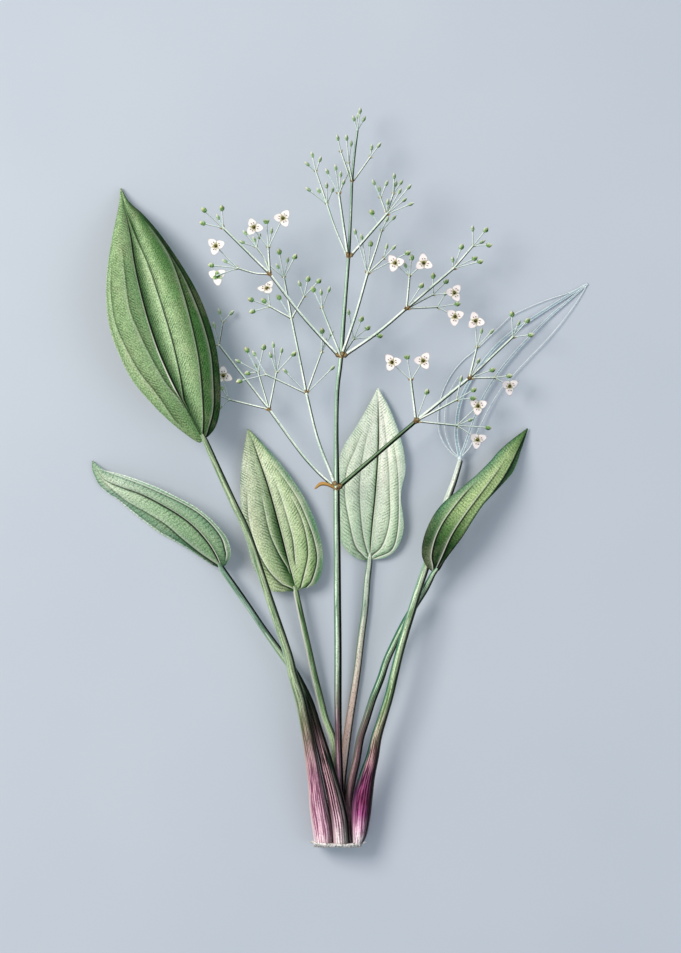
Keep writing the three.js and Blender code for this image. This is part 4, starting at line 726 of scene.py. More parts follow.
def lathe(skin, foot, direction, profile, sides, material, lobes=0, depth=0):
    """A closed turned form on an axis, through [distance along, radius], with lobes round it. Its
    place marks are the share of its length, and how far to its side and how far up a point lies."""
    profile = np.array(profile, float)
    direction = unit(direction)
    across = unit(np.cross(direction, UP + 0.01))
    up = np.cross(across, direction)
    angle = round_angles(sides)
    radius = profile[:, 1:] * (1 + depth * np.cos(lobes * angle))
    centres = np.asarray(foot, float) + profile[:, :1] * direction
    right, high = np.broadcast_arrays(np.cos(angle), np.sin(angle), radius)[:2]
    rings = centres[:, None] + across * (right * radius)[..., None] + up * (high * radius)[..., None]
    share = (profile[:, :1] - profile[0, 0]) / (profile[-1, 0] - profile[0, 0])
    last = (len(profile) - 1) * sides
    faces = grid_faces(len(profile), sides, closed=True, flip=True)
    faces += [list(range(sides)), list(range(last + sides - 1, last - 1, -1))]
    # How far a point lies on the side with painted shade, to the right and low
    shade = (right * (across @ RIGHT_AND_LOW) + high * (up @ RIGHT_AND_LOW)).ravel()
    skin.add(rings, faces, material, grain=rings, paint=painted((0, 0), shade),
             place=np.stack([np.broadcast_to(share, radius.shape), right, high], -1))


def sheet(skin, grid, half, upper, lower, **marks):
    """A closed sheet over rows of points, with its half thickness at each of them."""
    rows, columns = grid.shape[:2]
    size = rows * columns
    forward, rightward = np.gradient(grid, axis=0), np.gradient(grid, axis=1)
    normal = unit(np.cross(rightward, forward)) * np.broadcast_to(half, (rows, columns))[..., None]
    points = np.stack([grid + normal, grid - normal])
    both = {name: np.broadcast_to(value, (2, rows, columns, 3)) for name, value in marks.items()}
    start = skin.add(points, grid_faces(rows, columns), upper, **both)
    under = [[corner + size for corner in face] for face in grid_faces(rows, columns, flip=True)]
    rim = [*range(columns), *range(2 * columns - 1, size, columns),
           *range(size - 2, size - columns - 1, -1), *range(size - 2 * columns, -1, -columns)]
    under += [[here, here + size, after + size, after] for here, after in zip(rim, rim[1:])]
    skin.cover(start, under, lower)


# Materials


def colour(code):
    """A colour written as six hex digits, as a shader takes it."""
    parts = [int(code[i:i + 2], 16) / 255 for i in (0, 2, 4)]
    return (*(p / 12.92 if p <= 0.04045 else ((p + 0.055) / 1.055) ** 2.4 for p in parts), 1)


class Look:
    """A material as it is made. Each method adds nodes and gives back their output."""

    def __init__(self, name, **settings):
        self.material = bpy.data.materials.new(name)
        self.material.use_nodes = True
        self.tree = self.material.node_tree
        self.shader = self.tree.nodes["Principled BSDF"]
        for socket, value in settings.items():
            self.shader.inputs[socket.replace("_", " ")].default_value = value

    def node(self, kind, inputs, **settings):
        made = self.tree.nodes.new("ShaderNode" + kind)
        for key, value in settings.items():
            setattr(made, key, value)
        for socket, value in inputs.items():
            if isinstance(value, bpy.types.NodeSocket):
                self.tree.links.new(value, made.inputs[socket])
            else:
                made.inputs[socket].default_value = value
        return made

    def mark(self, name):
        return self.node("Attribute", {}, attribute_name=name).outputs["Vector"]

    def parts(self, name):
        return self.node("SeparateXYZ", {"Vector": self.mark(name)}).outputs[:]

    def noise(self, vector, scale, stretch=(1, 1, 1), detail=3):
        """Noise with blotches 1 / scale mm wide."""
        placed = self.node("Mapping", {"Vector": vector, "Scale": stretch}).outputs["Vector"]
        texture = {"Vector": placed, "Scale": scale, "Detail": detail}
        return self.node("TexNoise", texture).outputs["Fac"]

    def work(self, operation, first, second=0.0):
        return self.node("Math", {0: first, 1: second}, operation=operation).outputs["Value"]

    def times(self, first, second):
        return self.work("MULTIPLY", first, second)

    def plus(self, first, second):
        return self.work("ADD", first, second)

    def level(self, value, low, high, top=1.0):
        """0 up to low, top from high on, and even between them."""
        return self.node("MapRange", {"Value": value, "From Min": low, "From Max": high,
                                      "To Max": top}).outputs["Result"]

    def ramp(self, value, stops):
        made = self.node("ValToRGB", {"Fac": value})
        elements = made.color_ramp.elements
        elements.remove(elements[1])
        (first, code), *others = stops.items()
        elements[0].position, elements[0].color = first, colour(code)
        for position, code in others:
            elements.new(position).color = colour(code)
        return made.outputs["Color"]

    def mix(self, share, first, second, blend="MIX"):
        colours = {key: colour(value) if isinstance(value, str) else value
                   for key, value in ((6, first), (7, second))}
        made = self.node("Mix", {0: share, **colours}, data_type="RGBA", blend_type=blend)
        return made.outputs[2]

    def line(self, value, middle, width, top=1.0):
        """top along a line where a value is at middle, and 0 from width away from it."""
        off = self.work("ABSOLUTE", self.work("SUBTRACT", value, middle))
        return self.level(off, width, 0.3 * width, top)

    def thinned(self, ink, high):
        """Painted shade, kept whole on what faces up and thinned to 0.4 of it on what faces the
        surface.
        """
        return self.times(ink, self.plus(self.level(high, -0.1, 0.3, 0.6), 0.4))

    def scaled(self, base, factor):
        """A colour made lighter or darker without a change of hue."""
        made = self.node("VectorMath", {0: base, "Scale": factor}, operation="SCALE")
        return made.outputs["Vector"]

    def finish(self, base, height, depth, roughness=None):
        """Sets the colour, the bump, whose depth is in mm, and the roughness."""
        self.tree.links.new(base, self.shader.inputs["Base Color"])
        if roughness is not None:
            self.tree.links.new(roughness, self.shader.inputs["Roughness"])
        bump = self.node("Bump", {"Height": height, "Distance": depth * MM})
        self.tree.links.new(bump.outputs["Normal"], self.shader.inputs["Normal"])
        return self.material


# Painted shade: near black for the dark side of stalks and the line at a sheath's lap, and dark green
# for the line beside each vein
SHADE_BLACK = "050c08"
SHADE_LINE_GREEN = "0d2a14"
# Broad painted shade beside the veins, and the strokes between them, which are partly painted shade
DUSK_GREEN = "2c6a38"
HATCH_GREEN = "3f7a48"
# The plant's own colours: dots on stalks, the green strip at a sheath's lap, a blade's paler lower face
DOT_GREEN = "3c4f3c"
STRIP_GREEN = "3f7a62"
LOWER_FACE = "c3d2bd"
# Painted light beside the veins, and painted highlights along veins and on small round parts
GLOW = "f4f9ea"
VEIN_GLEAM = "f4f9ee"
TISSUE_GLEAM = "f6faf2"

# Textures: the blotches to a mm, how they are stretched, and their detail
BLOTCHES = (0.11, (1, 0.6, 1))
SPECKS = (1.7, (1, 0.75, 1))
BREAKS = (0.3, (1, 0.6, 1))  # where the strokes between the veins break off
WANDER = (0.4, (1, 1, 0.04))  # how the stripes of a stalk wander round it
FIBRES = (1.3, (1, 1, 0.05), 4)
DOTS = (2.1, (1, 1, 0.5), 5)
ROOT_FIBRES = (0.9, (1, 0.25, 1), 6)

# Where the painted shade line and the painted highlight line beside a vein lie, in mm from its
# # middle, and their width
SHADE_LINE = (0.25, 0.7)
GLEAM_LINE = (-0.33, 0.33)
STROKE_START = (-1.8, 0.4)  # from where on across a vein, towards its painted shade, strokes are drawn, and where they are full
STROKE_END = (6, 2.5, 0.7)

STALK_GLEAM = (-0.42, 0.5)  # where the painted highlight lies across a stalk, and its width
SPAN = 220  # mm that the colours along a stalk cover
LAP_REACH = 62  # how far up a sheath laps over itself


def blade_look(name, style, upper):
    """A blade: its colour from margin to margin, blotches, grain, strokes between the veins, and
    along each vein a line of painted shade, a line of painted highlight and broad painted shade
    and light. The strokes are stronger in the painted shade. Its lower face is paler."""
    look = Look(name, Specular_IOR_Level=0.1)
    grain = look.mark("grain")
    across, along, _ = look.parts("grain")
    out, share, beside = look.parts("place")
    ink, gleam, shade = look.parts("paint")
    sideways, lengthways = look.ramp(out, style["across"]), look.ramp(share, style["along"])
    base = look.mix(1.0, sideways, lengthways, "MULTIPLY")
    if not upper:
        base = look.mix(0.45, base, LOWER_FACE)
    blotches = look.noise(grain, *BLOTCHES)
    base = look.mix(look.level(blotches, 0.45, 0.75, style["flecks"]), base, style["fleck"])
    speck = look.level(look.noise(grain, *SPECKS), 0.38, 0.64)
    grained = look.plus(look.times(speck, 0.7 * style["stipple"]), 1 - 0.38 * style["stipple"])
    base = look.scaled(base, grained)
    slope, period = style["strokes"]
    climb = look.times(look.work("ABSOLUTE", across), -slope)
    jitter = look.times(look.noise(grain, 0.2), 1.2 * period)
    strokes = look.plus(look.plus(along, climb), jitter)
    wave = look.work("SINE", look.times(strokes, 2 * math.pi / period))
    broken = look.level(look.noise(grain, *BREAKS), 0.4, 0.56)
    # The strokes are stronger in the painted shade on a vein's dark side
    near = look.times(look.level(beside, *STROKE_START), look.level(beside, *STROKE_END))
    stroke = look.times(look.level(wave, 0.3, 0.9), broken)
    marked = look.times(stroke, look.plus(near, 0.3))
    base = look.mix(look.times(marked, style["hatch"]), base, HATCH_GREEN, "MULTIPLY")
    # Broad painted light and shade beside the veins, then the painted highlight line and the painted     shade line along them
    base = look.mix(look.level(shade, 0, -1, 0.55), base, GLOW)
    base = look.mix(look.level(shade, 0, 1, 0.95), base, DUSK_GREEN, "MULTIPLY")
    base = look.mix(look.times(gleam, look.line(beside, *GLEAM_LINE)), base, VEIN_GLEAM)
    base = look.mix(look.times(ink, look.line(beside, *SHADE_LINE)), base, SHADE_LINE_GREEN, "MULTIPLY")
    height = look.work("SUBTRACT", look.noise(grain, 0.9), stroke)
    rough = look.level(blotches, 0.2, 0.8, 0.25)
    return look.finish(base, height, 0.1, look.plus(rough, 0.5))


def stalk_look(name, kind):
    """A ribbed stalk: pale and deep stripes, a painted highlight on its left, painted shade on its
    right, and a painted shadow line and a green strip where a sheath laps over itself."""
    style = {**USUAL_STALK, **STALKS[kind]}
    pale, deep, rim = ({distance / SPAN: code for distance, code in style[key].items()}
                       for key in ("pale", "deep", "rim"))
    look = Look(name, Specular_IOR_Level=0.04)
    grain = look.mark("grain")
    distance, sideways, high = look.parts("place")
    line, strip, shade = look.parts("paint")
    along = look.work("DIVIDE", distance, SPAN)
    round_it = look.work("ARCTAN2", high, sideways)
    wander = look.times(look.noise(grain, *WANDER), 6)
    wave = look.work("SINE", look.plus(look.times(round_it, style["stripes"]), wander))
    streaks = look.plus(look.times(wave, 0.09), look.noise(grain, *FIBRES))
    streaks = look.level(streaks, 0.42, 0.6)
    base = look.mix(streaks, look.ramp(along, deep), look.ramp(along, pale))
    dots = look.level(look.noise(grain, *DOTS), 0.53, 0.66, 0.5)
    base = look.mix(dots, base, DOT_GREEN)
    sheath = look.level(distance, LAP_REACH, LAP_REACH / 2)
    edge = look.work("SUBTRACT", shade, look.times(sheath, style["front"]))
    # Painted highlight down the left, the rim on the left edge, painted shade down the right, and     the painted shadow line at the lap
    gleam = look.line(shade, *STALK_GLEAM, 0.4 * style["gleam"])
    base = look.scaled(base, look.plus(gleam, 1.0))
    base = look.mix(strip, base, STRIP_GREEN)
    base = look.mix(look.level(shade, *style["edge"], 0.9), base, look.ramp(along, rim))
    dark = look.thinned(look.level(edge, *style["dark"], style["shadow"]), high)
    base = look.mix(dark, base, SHADE_BLACK)
    base = look.mix(line, base, SHADE_BLACK)
    return look.finish(base, streaks, 0.08, look.level(streaks, 0, 1, 0.5))


def tissue_look(name, pale, deep, tip=None, shadow=0.75, gleam=0.0, **settings):
    """Buds, pedicels, sepals, bracts and roots: two mottled tones, a third towards the tip, a painted
    highlight on the left where gleam is given, and painted shade on the right."""
    look = Look(name, Specular_IOR_Level=0.12, **settings)
    share, _, high = look.parts("place")
    _, _, shade = look.parts("paint")
    mottle = look.level(look.noise(look.mark("grain"), 1.4), 0.4, 0.62)
    base = look.mix(mottle, deep, pale)
    if tip:
        base = look.mix(look.level(share, 0.5, 0.9, 0.9), base, tip)
    base = look.mix(look.level(shade, -0.1, -0.75, gleam), base, TISSUE_GLEAM)
    base = look.mix(look.thinned(look.level(shade, 0.15, 0.7, shadow), high), base, SHADE_BLACK)
    return look.finish(base, mottle, 0.06)


def petal_look():
    """White with a grey edge, yellow at the claw, flushed with pink where paint says so."""
    white, vein, pink, yellow, grey = "fffdfb", "e3d5d2", "e3b9cc", "a39d4e", "857888"
    look = Look("petal", Roughness=0.6)
    share, across, _ = look.parts("place")
    flush, _, _ = look.parts("paint")
    veins = look.level(look.work("SINE", look.times(across, 17)), 0.2, 1, 0.12)
    base = look.mix(veins, white, vein)
    base = look.mix(look.times(flush, look.level(share, 0.1, 0.8)), base, pink)
    base = look.mix(look.level(share, 0.3, 0.14, 0.8), base, yellow)
    edge = look.work("MAXIMUM", look.work("ABSOLUTE", across), share)
    base = look.mix(look.level(edge, 0.86, 0.98, 0.5), base, grey)
    return look.finish(base, veins, 0.05)


def crown_look():
    look = Look("crown", Roughness=0.9)
    fibres = look.noise(look.mark("grain"), *ROOT_FIBRES)
    base = look.ramp(fibres, {0.32: "4f4f49", 0.44: "b9b9b3", 0.56: "ffffff"})
    return look.finish(base, fibres, 0.4)


def floor_look():
    look = Look("floor", Roughness=0.85)
    grain = look.node("TexCoord", {}).outputs["Object"]
    mottle = look.level(look.noise(grain, 6), 0.3, 0.7, 0.06)
    return look.finish(look.mix(mottle, "b7c2d0", "ffffff"), mottle, 0.1)


# Each look below paints shade on the right side of its parts, and most a highlight on the left
twig_skin = stalk_look("twig", "twig")
green_twig_skin = stalk_look("green_twig", "green_twig")
pedicel_skin = tissue_look("pedicel", "dfeeee", "b3cfcb", gleam=0.7, shadow=0.85)
bud_skin = tissue_look("bud", "95bb74", "4f8446", "e6e6b6", gleam=0.7, Roughness=0.5)
slim_bud_skin = tissue_look("slim_bud", "b3cfa2", "6f9b69", "f2f2e2", gleam=0.6, Roughness=0.5)
sepal_skin = tissue_look("sepal", "8fb573", "557f48", "cfdcaa", Roughness=0.55)
bract_skin = tissue_look("bract", "96652f", "46270f", "bf9656", Roughness=0.7)
scale_skin = tissue_look("scale", "b3a878", "6c6a40", "d8cf9f", Roughness=0.7)
knot_skin = tissue_look("knot", "a38f68", "574428", Roughness=0.7)
anther_skin = tissue_look("anther", "8a4430", "552318", shadow=0.3, Roughness=0.8)
stamen_skin = tissue_look("stamen", "f3efe2", "d9d2b8", shadow=0.3, Roughness=0.8)
middle_skin = tissue_look("flower_middle", "7d7c34", "23240e", Roughness=0.7)
net_skin = tissue_look("dry_vein", "f2f9fc", "bfd9e4", gleam=0.6, shadow=0.45, Roughness=0.65)
film_skin = tissue_look("dry_film", "a9c0cc", "86a5b6", shadow=0.2, Roughness=0.7)
root_skin = tissue_look("root", "ffffff", "a9a8a2", shadow=0.6, Roughness=0.9)
petal_skin = petal_look()
crown_skin = crown_look()

# Leaves

BLADE_ROWS = 150
BLADE_START = 0.012
BLADE_END = 0.996
BAND_STEPS = 12  # columns from one vein to the next
LEAST_BAND = 0.02  # and the share of the way out that they cover at least
OUTERMOST = 0.96  # the share of the way out where a vein may lie
VEIN_WIDTH = 0.45
VEIN_RELIEF = 0.06
RIB_WIDTH = 0.9
QUILT = 0.2  # how far a blade swells between its veins
QUILT_START = 1.8  # mm from a vein
VEIN_DUSK = 2.1  # mm that the painted shade on a vein's dark side reaches
VEIN_LIGHT = 1.3  # and the painted light on its other side
RIB_WIDE = 1.25  # how much wider the painted lines of a midrib are than a vein's
MERGE = 0.36  # where the lines of two veins end as they run together
MARGIN_THINNING = 0.55
BLADE_STOPS = "rib shade rib_ink rib_gleam vein_ink vein_gleam dusk light".split()


def crossings(vein, mid, way, shares):
    """Where a vein crosses a half blade's rows: shares of the length, and of the way out."""
    found = []
    for point in smooth_line(vein, 60):
        offset = point - mid[:, :2]
        beside = way[:, 0] * offset[:, 1] - way[:, 1] * offset[:, 0]
        out = np.sum(offset * way, axis=1) / np.sum(way * way, axis=1)
        inside = (beside[:-1] * beside[1:] <= 0) & (out[:-1] > -0.1) & (out[:-1] < 1.1)
        if inside.any():
            row = np.flatnonzero(inside)[0]
            part = beside[row] / (beside[row] - beside[row + 1])
            found.append([values[row] + part * (values[row + 1] - values[row])
                          for values in (shares, out)])
    return np.array(sorted(found)).T


def half_grid(mid, margin, bow, veins, shares):
    """One half of a blade, in rows from the midrib out: its points, how far out each is, and for
    the midrib and each vein how far out from it a point is in mm, with how clear it is there."""
    way = margin[:, :2] - mid[:, :2]
    width = np.linalg.norm(way, axis=1)
    stops, clear = [np.zeros(len(shares))], [np.ones(len(shares))]
    for vein in veins:
        rows, outs = crossings(vein, mid, way, shares)
        stops.append(np.clip(np.interp(shares, rows, outs), stops[-1] + LEAST_BAND, OUTERMOST))
        ends = [rows[0] - 0.05, rows[0], rows[-1] - 0.08, rows[-1] + 0.02]
        clear.append(np.interp(shares, ends, [0, 1, 1, 0]))
    edges = [*stops, np.ones(len(shares))]
    ease = (1 - np.cos(np.linspace(0, math.pi, BAND_STEPS + 1)[:-1])) / 2
    out = np.hstack([a[:, None] + np.outer(b - a, ease) for a, b in zip(edges, edges[1:])]
                    + [np.ones((len(shares), 1))])
    points = mid[:, None] + out[..., None] * (margin - mid)[:, None]
    points[..., 2] += bow * np.sin(math.pi * out) * np.sqrt(np.sin(math.pi * shares))[:, None]
    apart = [(out - stop[:, None]) * width[:, None] for stop in stops]
    return points, out, apart, [part[:, None] for part in clear]


def half_blade(leaf, side, mid, shares):
    """One half of a blade, the left one where side is -1: its points, how far they are raised,
    its half thickness, and the places and the painted lines, shade and light that its look reads."""
    style = BLADES[leaf.name]
    rib, shade, rib_ink, rib_gleam, vein_ink, vein_gleam, dusk, light = (
        between(style[key], shares)[:, None] for key in BLADE_STOPS)
    edge, veins = (leaf.left, "left_veins") if side < 0 else (leaf.right, "right_veins")
    margin = smooth_line([leaf.base, *edge, leaf.tip], shares=shares)
    points, out, apart, clear = half_grid(mid, margin, leaf.bow[side > 0], style[veins], shares)
    sizes = np.abs(np.array(apart))
    nearest = sizes.min(axis=0)
    first, second = np.sort(sizes, axis=0)[:2]
    close = np.clip((MERGE - first / (first + second + 1e-6)) * 10, 0, 1)
    height = rib * bell(apart[0], RIB_WIDTH)
    height = height + QUILT * (1 - bell(nearest, QUILT_START)) * np.sin(math.pi * shares)[:, None]
    # For each vein: a painted shade line on one side and a painted highlight line on the other, and     broad painted shade beside it, with painted light on the other side where dark is below 0
    ink, gleam, dark, beside = (np.zeros(out.shape) for _ in range(4))
    for index, (distance, part) in enumerate(zip(apart, clear)):
        off = distance * side * style["painted_dark"]
        here = (sizes[index] == nearest) * close * part
        painted_dark = vein_ink * style["ink"][side > 0] if index else rib_ink
        lit = vein_gleam * style["lit"][side > 0] if index else rib_gleam
        ink = np.where(here > 0, here * painted_dark, ink)
        gleam = np.where(here > 0, here * lit, gleam)
        beside = np.where(sizes[index] == nearest, off / (1 if index else RIB_WIDE), beside)
        if index:
            height += VEIN_RELIEF * style["painted_dark"] * part * bell(distance, VEIN_WIDTH)
            dark += dusk * part * bell(off, VEIN_DUSK) * (off > 0)
            dark -= light * part * bell(off, VEIN_LIGHT) * (off < 0)
    shaded_side, reach = style["shaded"]
    dark = dark + shade * bell(apart[0], reach) * (side == shaded_side)
    thick = LEAF_SHEET / 2 * (1 - MARGIN_THINNING * out**8)
    along = shares[:, None] * np.linalg.norm(np.diff(mid, axis=0), axis=1).sum() + 0 * out
    values = [points, height, thick, side * apart[0], along, side * out, beside, ink, gleam, dark]
    return [value[:, ::-1] if side < 0 else value[:, 1:] for value in values]


def blade(leaf):
    shares = np.linspace(BLADE_START, BLADE_END, BLADE_ROWS + 1)
    mid = smooth_line([leaf.base, *leaf.mid, leaf.tip], shares=shares)
    halves = [half_blade(leaf, side, mid, shares) for side in (-1, 1)]
    points, height, thick, across, along, out, beside, ink, gleam, dark = (
        np.concatenate(pair, axis=1) for pair in zip(*halves))
    forward, rightward = np.gradient(points, axis=0), np.gradient(points, axis=1)
    points = points + unit(np.cross(rightward, forward)) * height[..., None]
    share = np.broadcast_to(shares[:, None], out.shape)
    upper, lower = (blade_look(f"{leaf.name}_{face}", BLADES[leaf.name], face == "upper")
                    for face in ("upper", "lower"))
    skin = Skin()
    sheet(skin, points, thick, upper, lower,
          grain=np.stack([across, along, 0 * along], -1),
          place=np.stack([(out + 1) / 2, share, beside], -1),
          paint=np.clip(np.stack([ink, gleam, dark], -1), -1, 1))
    skin.piece(f"{leaf.name}_blade")


# Petioles and the flower stem

STALK_STEPS = 150
STALK_SIDES = 40
RIBS = 13
LAP_HEIGHT = 0.07  # share of the radius that the upper layer stands out
LAP_FADE = 20  # mm over which the lines of the lap fade out
STEM_STEPS = 260
STEM_SIDES = 28
BRACT_SIDES = 8
BRACT_TURNS = (2.4, 1.25, 0.5)  # where the bracts of a whorl are, round the stem
KNOT = np.array([[-0.9, 0.75], [-0.45, 0.95], [0, 1.05], [0.45, 0.95], [0.9, 0.75]])


def ribbed(lap):
    """Ribs along a petiole, and the step where the sheath at its foot laps over itself."""
    def swell(angle, distance):
        ribs = 0.022 * np.cos(RIBS * angle) + 0.012 * np.cos(5 * angle + 1)
        fade = np.clip((LAP_REACH - distance) / LAP_REACH, 0, 1)
        step = (angle < lap) * np.exp(-np.abs(angle - lap) / 0.9)
        return 1 + ribs + LAP_HEIGHT * fade * step
    return swell


def fine_ribs(angle, _):
    return 1 + 0.02 * np.cos(9 * angle)


def lap_line(stations, lap):
    """Where the painted shadow line and the green strip of a sheath's lap lie on its rings."""
    angle = round_angles(STALK_SIDES)[None]
    fade = np.clip((LAP_REACH - distances(stations)[:, None]) / LAP_FADE, 0, 1)
    outward = 1 if lap < math.pi / 2 else -1
    line = fade * bell(angle - lap - 0.12 * outward, 0.14)
    strip = fade * bell(angle - lap + 0.3 * outward, 0.26)
    return np.vstack([np.stack([0.8 * line, 0.5 * strip], -1).reshape(-1, 2), np.zeros((2, 2))])


def petiole(name, points):
    skin = Skin()
    stations = smooth_line(points, STALK_STEPS)
    lap = STALKS[name]["lap"]
    tube(skin, stations, STALK_SIDES, stalk_look(f"{name}_stalk", name), ribbed(lap),
         paint=lap_line(stations, lap), dark=RIGHT)
    skin.piece(f"{name}_petiole")


def bract(skin, foot, direction, length, width, material):
    """A scale that tapers to a point and curls up a little."""
    shares = np.linspace(0, 1, 7)[:, None]
    centres = np.array(foot) + shares * length * unit(direction) + shares**2 * 0.12 * length * UP
    half = width * np.interp(shares, [0, 0.35, 1], [0.7, 1, 0.08])
    tube(skin, np.hstack([centres, half, 0.15 + 0 * half]), BRACT_SIDES, material)


def whorl_ring(skin, at, radius, along):
    """A swollen ring where branches leave the stem, and its bracts."""
    lathe(skin, at, along, (radius + 0.1) * KNOT, 20, knot_skin, lobes=5, depth=0.06)
    for turn in BRACT_TURNS:
        side = np.array([math.cos(turn), 0, 0.6 * math.sin(turn)])
        foot = np.array(at) + side * radius * 0.9
        bract(skin, foot, along + 0.75 * side, 1.6 * radius, 0.45 * radius, bract_skin)


def flower_stem():
    skin = Skin()
    stations = smooth_line(FLOWER_STEM, STEM_STEPS)
    look = stalk_look("flower_stem", "flower_stem")
    tube(skin, stations, STEM_SIDES, look, fine_ribs, dark=RIGHT)
    for at in WHORLS:
        nearest = np.argmin(np.linalg.norm(stations[:, :3] - at, axis=1))
        along = unit(stations[nearest + 1, :3] - stations[nearest - 1, :3])
        whorl_ring(skin, at, stations[nearest, 3], along)
    tube(skin, smooth_line(LONG_BRACT, 24) * [1, 1, 1, 0.75, 1], 10, bract_skin)
    bear(skin, TIP_BUDS)
    skin.piece("flower_stem")


# Twigs, buds and flowers

BUD_SPREAD = 0.32  # how far buds rise and sink round their fork, as a share of their distance
LOWEST_BUD = 1.6
BUD_TURN = 2.4
THICK_TWIG = 1  # from this radius on a stalk is green
KNOBBED = 0.75  # its fork has a brown knob
SHEATHED = 0.6  # and its foot a brown sleeve
TWIG_SIDES = 14
PEDICEL_SIDES = 8
PEDICEL_SAG = 0.03  # share of its length
FORK_KNOB = 1.3
KNOB = np.array([[-1.3, 0.7], [-0.5, 0.95], [0.2, 1.05], [0.9, 0.8], [1.3, 0.3]])
SLEEVE_LENGTH = 2.2
SLEEVE_WIDTHS = np.array([1.5, 1.6, 1.55, 1.4, 1.25, 1.1])

# Profiles are [distance along, radius], and those of a bud are shares of its length and radius
BUD_PROFILE = [[0, 0.3], [0.06, 0.55], [0.18, 0.85], [0.35, 1], [0.55, 0.97], [0.72, 0.76],
    [0.86, 0.48], [0.95, 0.24], [1, 0.08]]
CALYX_BUD = [0.75, 0.62]  # the share of them that the bud in an open calyx has
CUP = [[-FLOWER_DEPTH, 0.36], [-1.3, 0.6], [-0.7, 0.95], [-0.15, 0.9], [0.1, 0.6]]
FLOWER_MIDDLE = [[0, 0.85], [0.35, 0.9], [0.6, 0.7], [0.7, 0.3]]
ANTHER = [[0, 0.1], [0.12, 0.24], [0.35, 0.28], [0.5, 0.1]]
STAMEN = [(0.8, 0.2, 0.11), (1.35, 0.7, 0.1), (2.1, 1.15, 0.09)]  # way out, way up and radius
STAMEN_TURN = 0.3  # how far each of a pair is turned away from the petal in front
OPEN_SEPALS = (0.5, 2.7, 0.95, 0.75)  # turn, length, half width and rise
CLOSED_SEPALS = (1.5, 1.5, 0.8, 0.9)
FLUSH = 0.15  # how pink the petals right of the middle are

# A petal's half width at shares of its length, from its claw to its blunt point
PETAL_OUTLINE = {0: 0.52, 0.15: 0.8, 0.32: 1, 0.5: 0.96, 0.65: 0.8, 0.8: 0.52, 0.92: 0.27, 1: 0.04}


def bud_centre(item, start, index):
    x, y, z = item.at
    if z is None:
        reach = math.hypot(x - start[0], y - start[1])
        z = max(start[2] + BUD_SPREAD * reach * math.sin(BUD_TURN * index + 1), LOWEST_BUD)
    return np.array([x, y, z], float)


def facing_of(item):
    x, y = item.lean
    up = math.sqrt(1 - x * x - y * y)
    return np.array([x, y, -up if item.back else up])


def pedicel(skin, start, end):
    """A thin stalk that sags a little between its ends and widens under what it bears."""
    length = np.linalg.norm(end - start)
    shares = np.linspace(0, 1, 9)[:, None]
    sag = PEDICEL_SAG * length * np.sin(math.pi * shares) * UP
    centres = start + shares * (end - start) - sag
    radius = PEDICEL_RADIUS * np.interp(shares, [0, 0.1, 0.85, 1], [1.25, 0.9, 0.9, 1.3])
    tube(skin, np.hstack([centres, radius, radius]), PEDICEL_SIDES, pedicel_skin)


def bud(skin, kind, start, centre):
    length, radius = BUDS[kind]
    along = unit(centre - start)
    foot = centre - along * length / 2
    pedicel(skin, start, foot)
    profile = np.array(BUD_PROFILE) * [length, radius]
    if kind == "calyx":
        profile = profile * CALYX_BUD
        sepals(skin, foot + along * 0.2, along, *OPEN_SEPALS)
    lathe(skin, foot, along, profile, 12, slim_bud_skin if kind == "slim" else bud_skin, 3, 0.1)
    if kind != "slim":
        sepals(skin, foot, along, *CLOSED_SEPALS)


def frame_of(facing, turn):
    """Rows are the way out, the way round and the way up of a part of a flower at a turn."""
    matrix = turned(facing)
    out = matrix @ [math.cos(turn), math.sin(turn), 0]
    return np.array([out, np.cross(matrix[:, 2], out), matrix[:, 2]])


def lamina(skin, foot, axes, length, wide, shape, thickness, material, flush=0):
    """A petal or a sepal: wide gives its half width from its length's share, and shape its height
    from that share and how far to the side a point lies, -1 to 1."""
    u, v = np.meshgrid(np.linspace(0, 1, 11), np.linspace(-1, 1, 9), indexing="ij")
    local = np.stack([length * u, -wide(u) * v, shape(u, v)], -1)
    points = np.asarray(foot, float) + local @ axes
    sheet(skin, points, thickness / 2, material, material,
          grain=points, place=np.stack([u, v, 0 * u], -1), paint=(flush, 0, 0))


def sepals(skin, foot, facing, turn, length, half_width, rise):
    """Three green sepals that stand up from their foot by rise and curl out."""
    for third in range(3):
        axes = frame_of(facing, 2 * math.pi * third / 3 + turn)
        lamina(skin, foot + 0.35 * axes[0], axes, length * 0.5,
               lambda u: half_width * (0.12 + np.sin(math.pi * u**0.8) ** 0.8),
               lambda u, v: length * rise * u**0.9 - 0.25 * half_width * v**2, 0.22, sepal_skin)


def flat_sepal(skin, foot, facing, turn):
    """A sepal between two petals of an open flower."""
    lamina(skin, foot, frame_of(facing, turn), SEPAL_LENGTH,
           lambda u: 0.75 * (0.25 + np.sin(math.pi * u**0.75) ** 0.9),
           lambda u, v: -0.35 * u - 0.2 * v**2, 0.2, sepal_skin)


def petal(skin, foot, facing, turn, flush):
    def wide(u):
        return PETAL_HALF_WIDTH * between(PETAL_OUTLINE, u)

    def height(u, v):
        waves = 0.14 * np.sin(3 * math.pi * v + 5 * turn) * u**2
        return 0.25 + 0.75 * u**1.6 - 0.3 * (1 - v**2) * u * (1 - u) * 2 + waves

    lamina(skin, foot, frame_of(facing, turn), PETAL_LENGTH, wide, height, 0.16, petal_skin, flush)


def stamen(skin, middle, facing, turn):
    out, _, up = frame_of(facing, turn)
    points = [[*(middle + reach * out + rise * facing), radius] for reach, rise, radius in STAMEN]
    tube(skin, smooth_line(points, 6), 6, stamen_skin)
    lathe(skin, points[-1][:3] - 0.3 * up, up, ANTHER, 8, anther_skin)


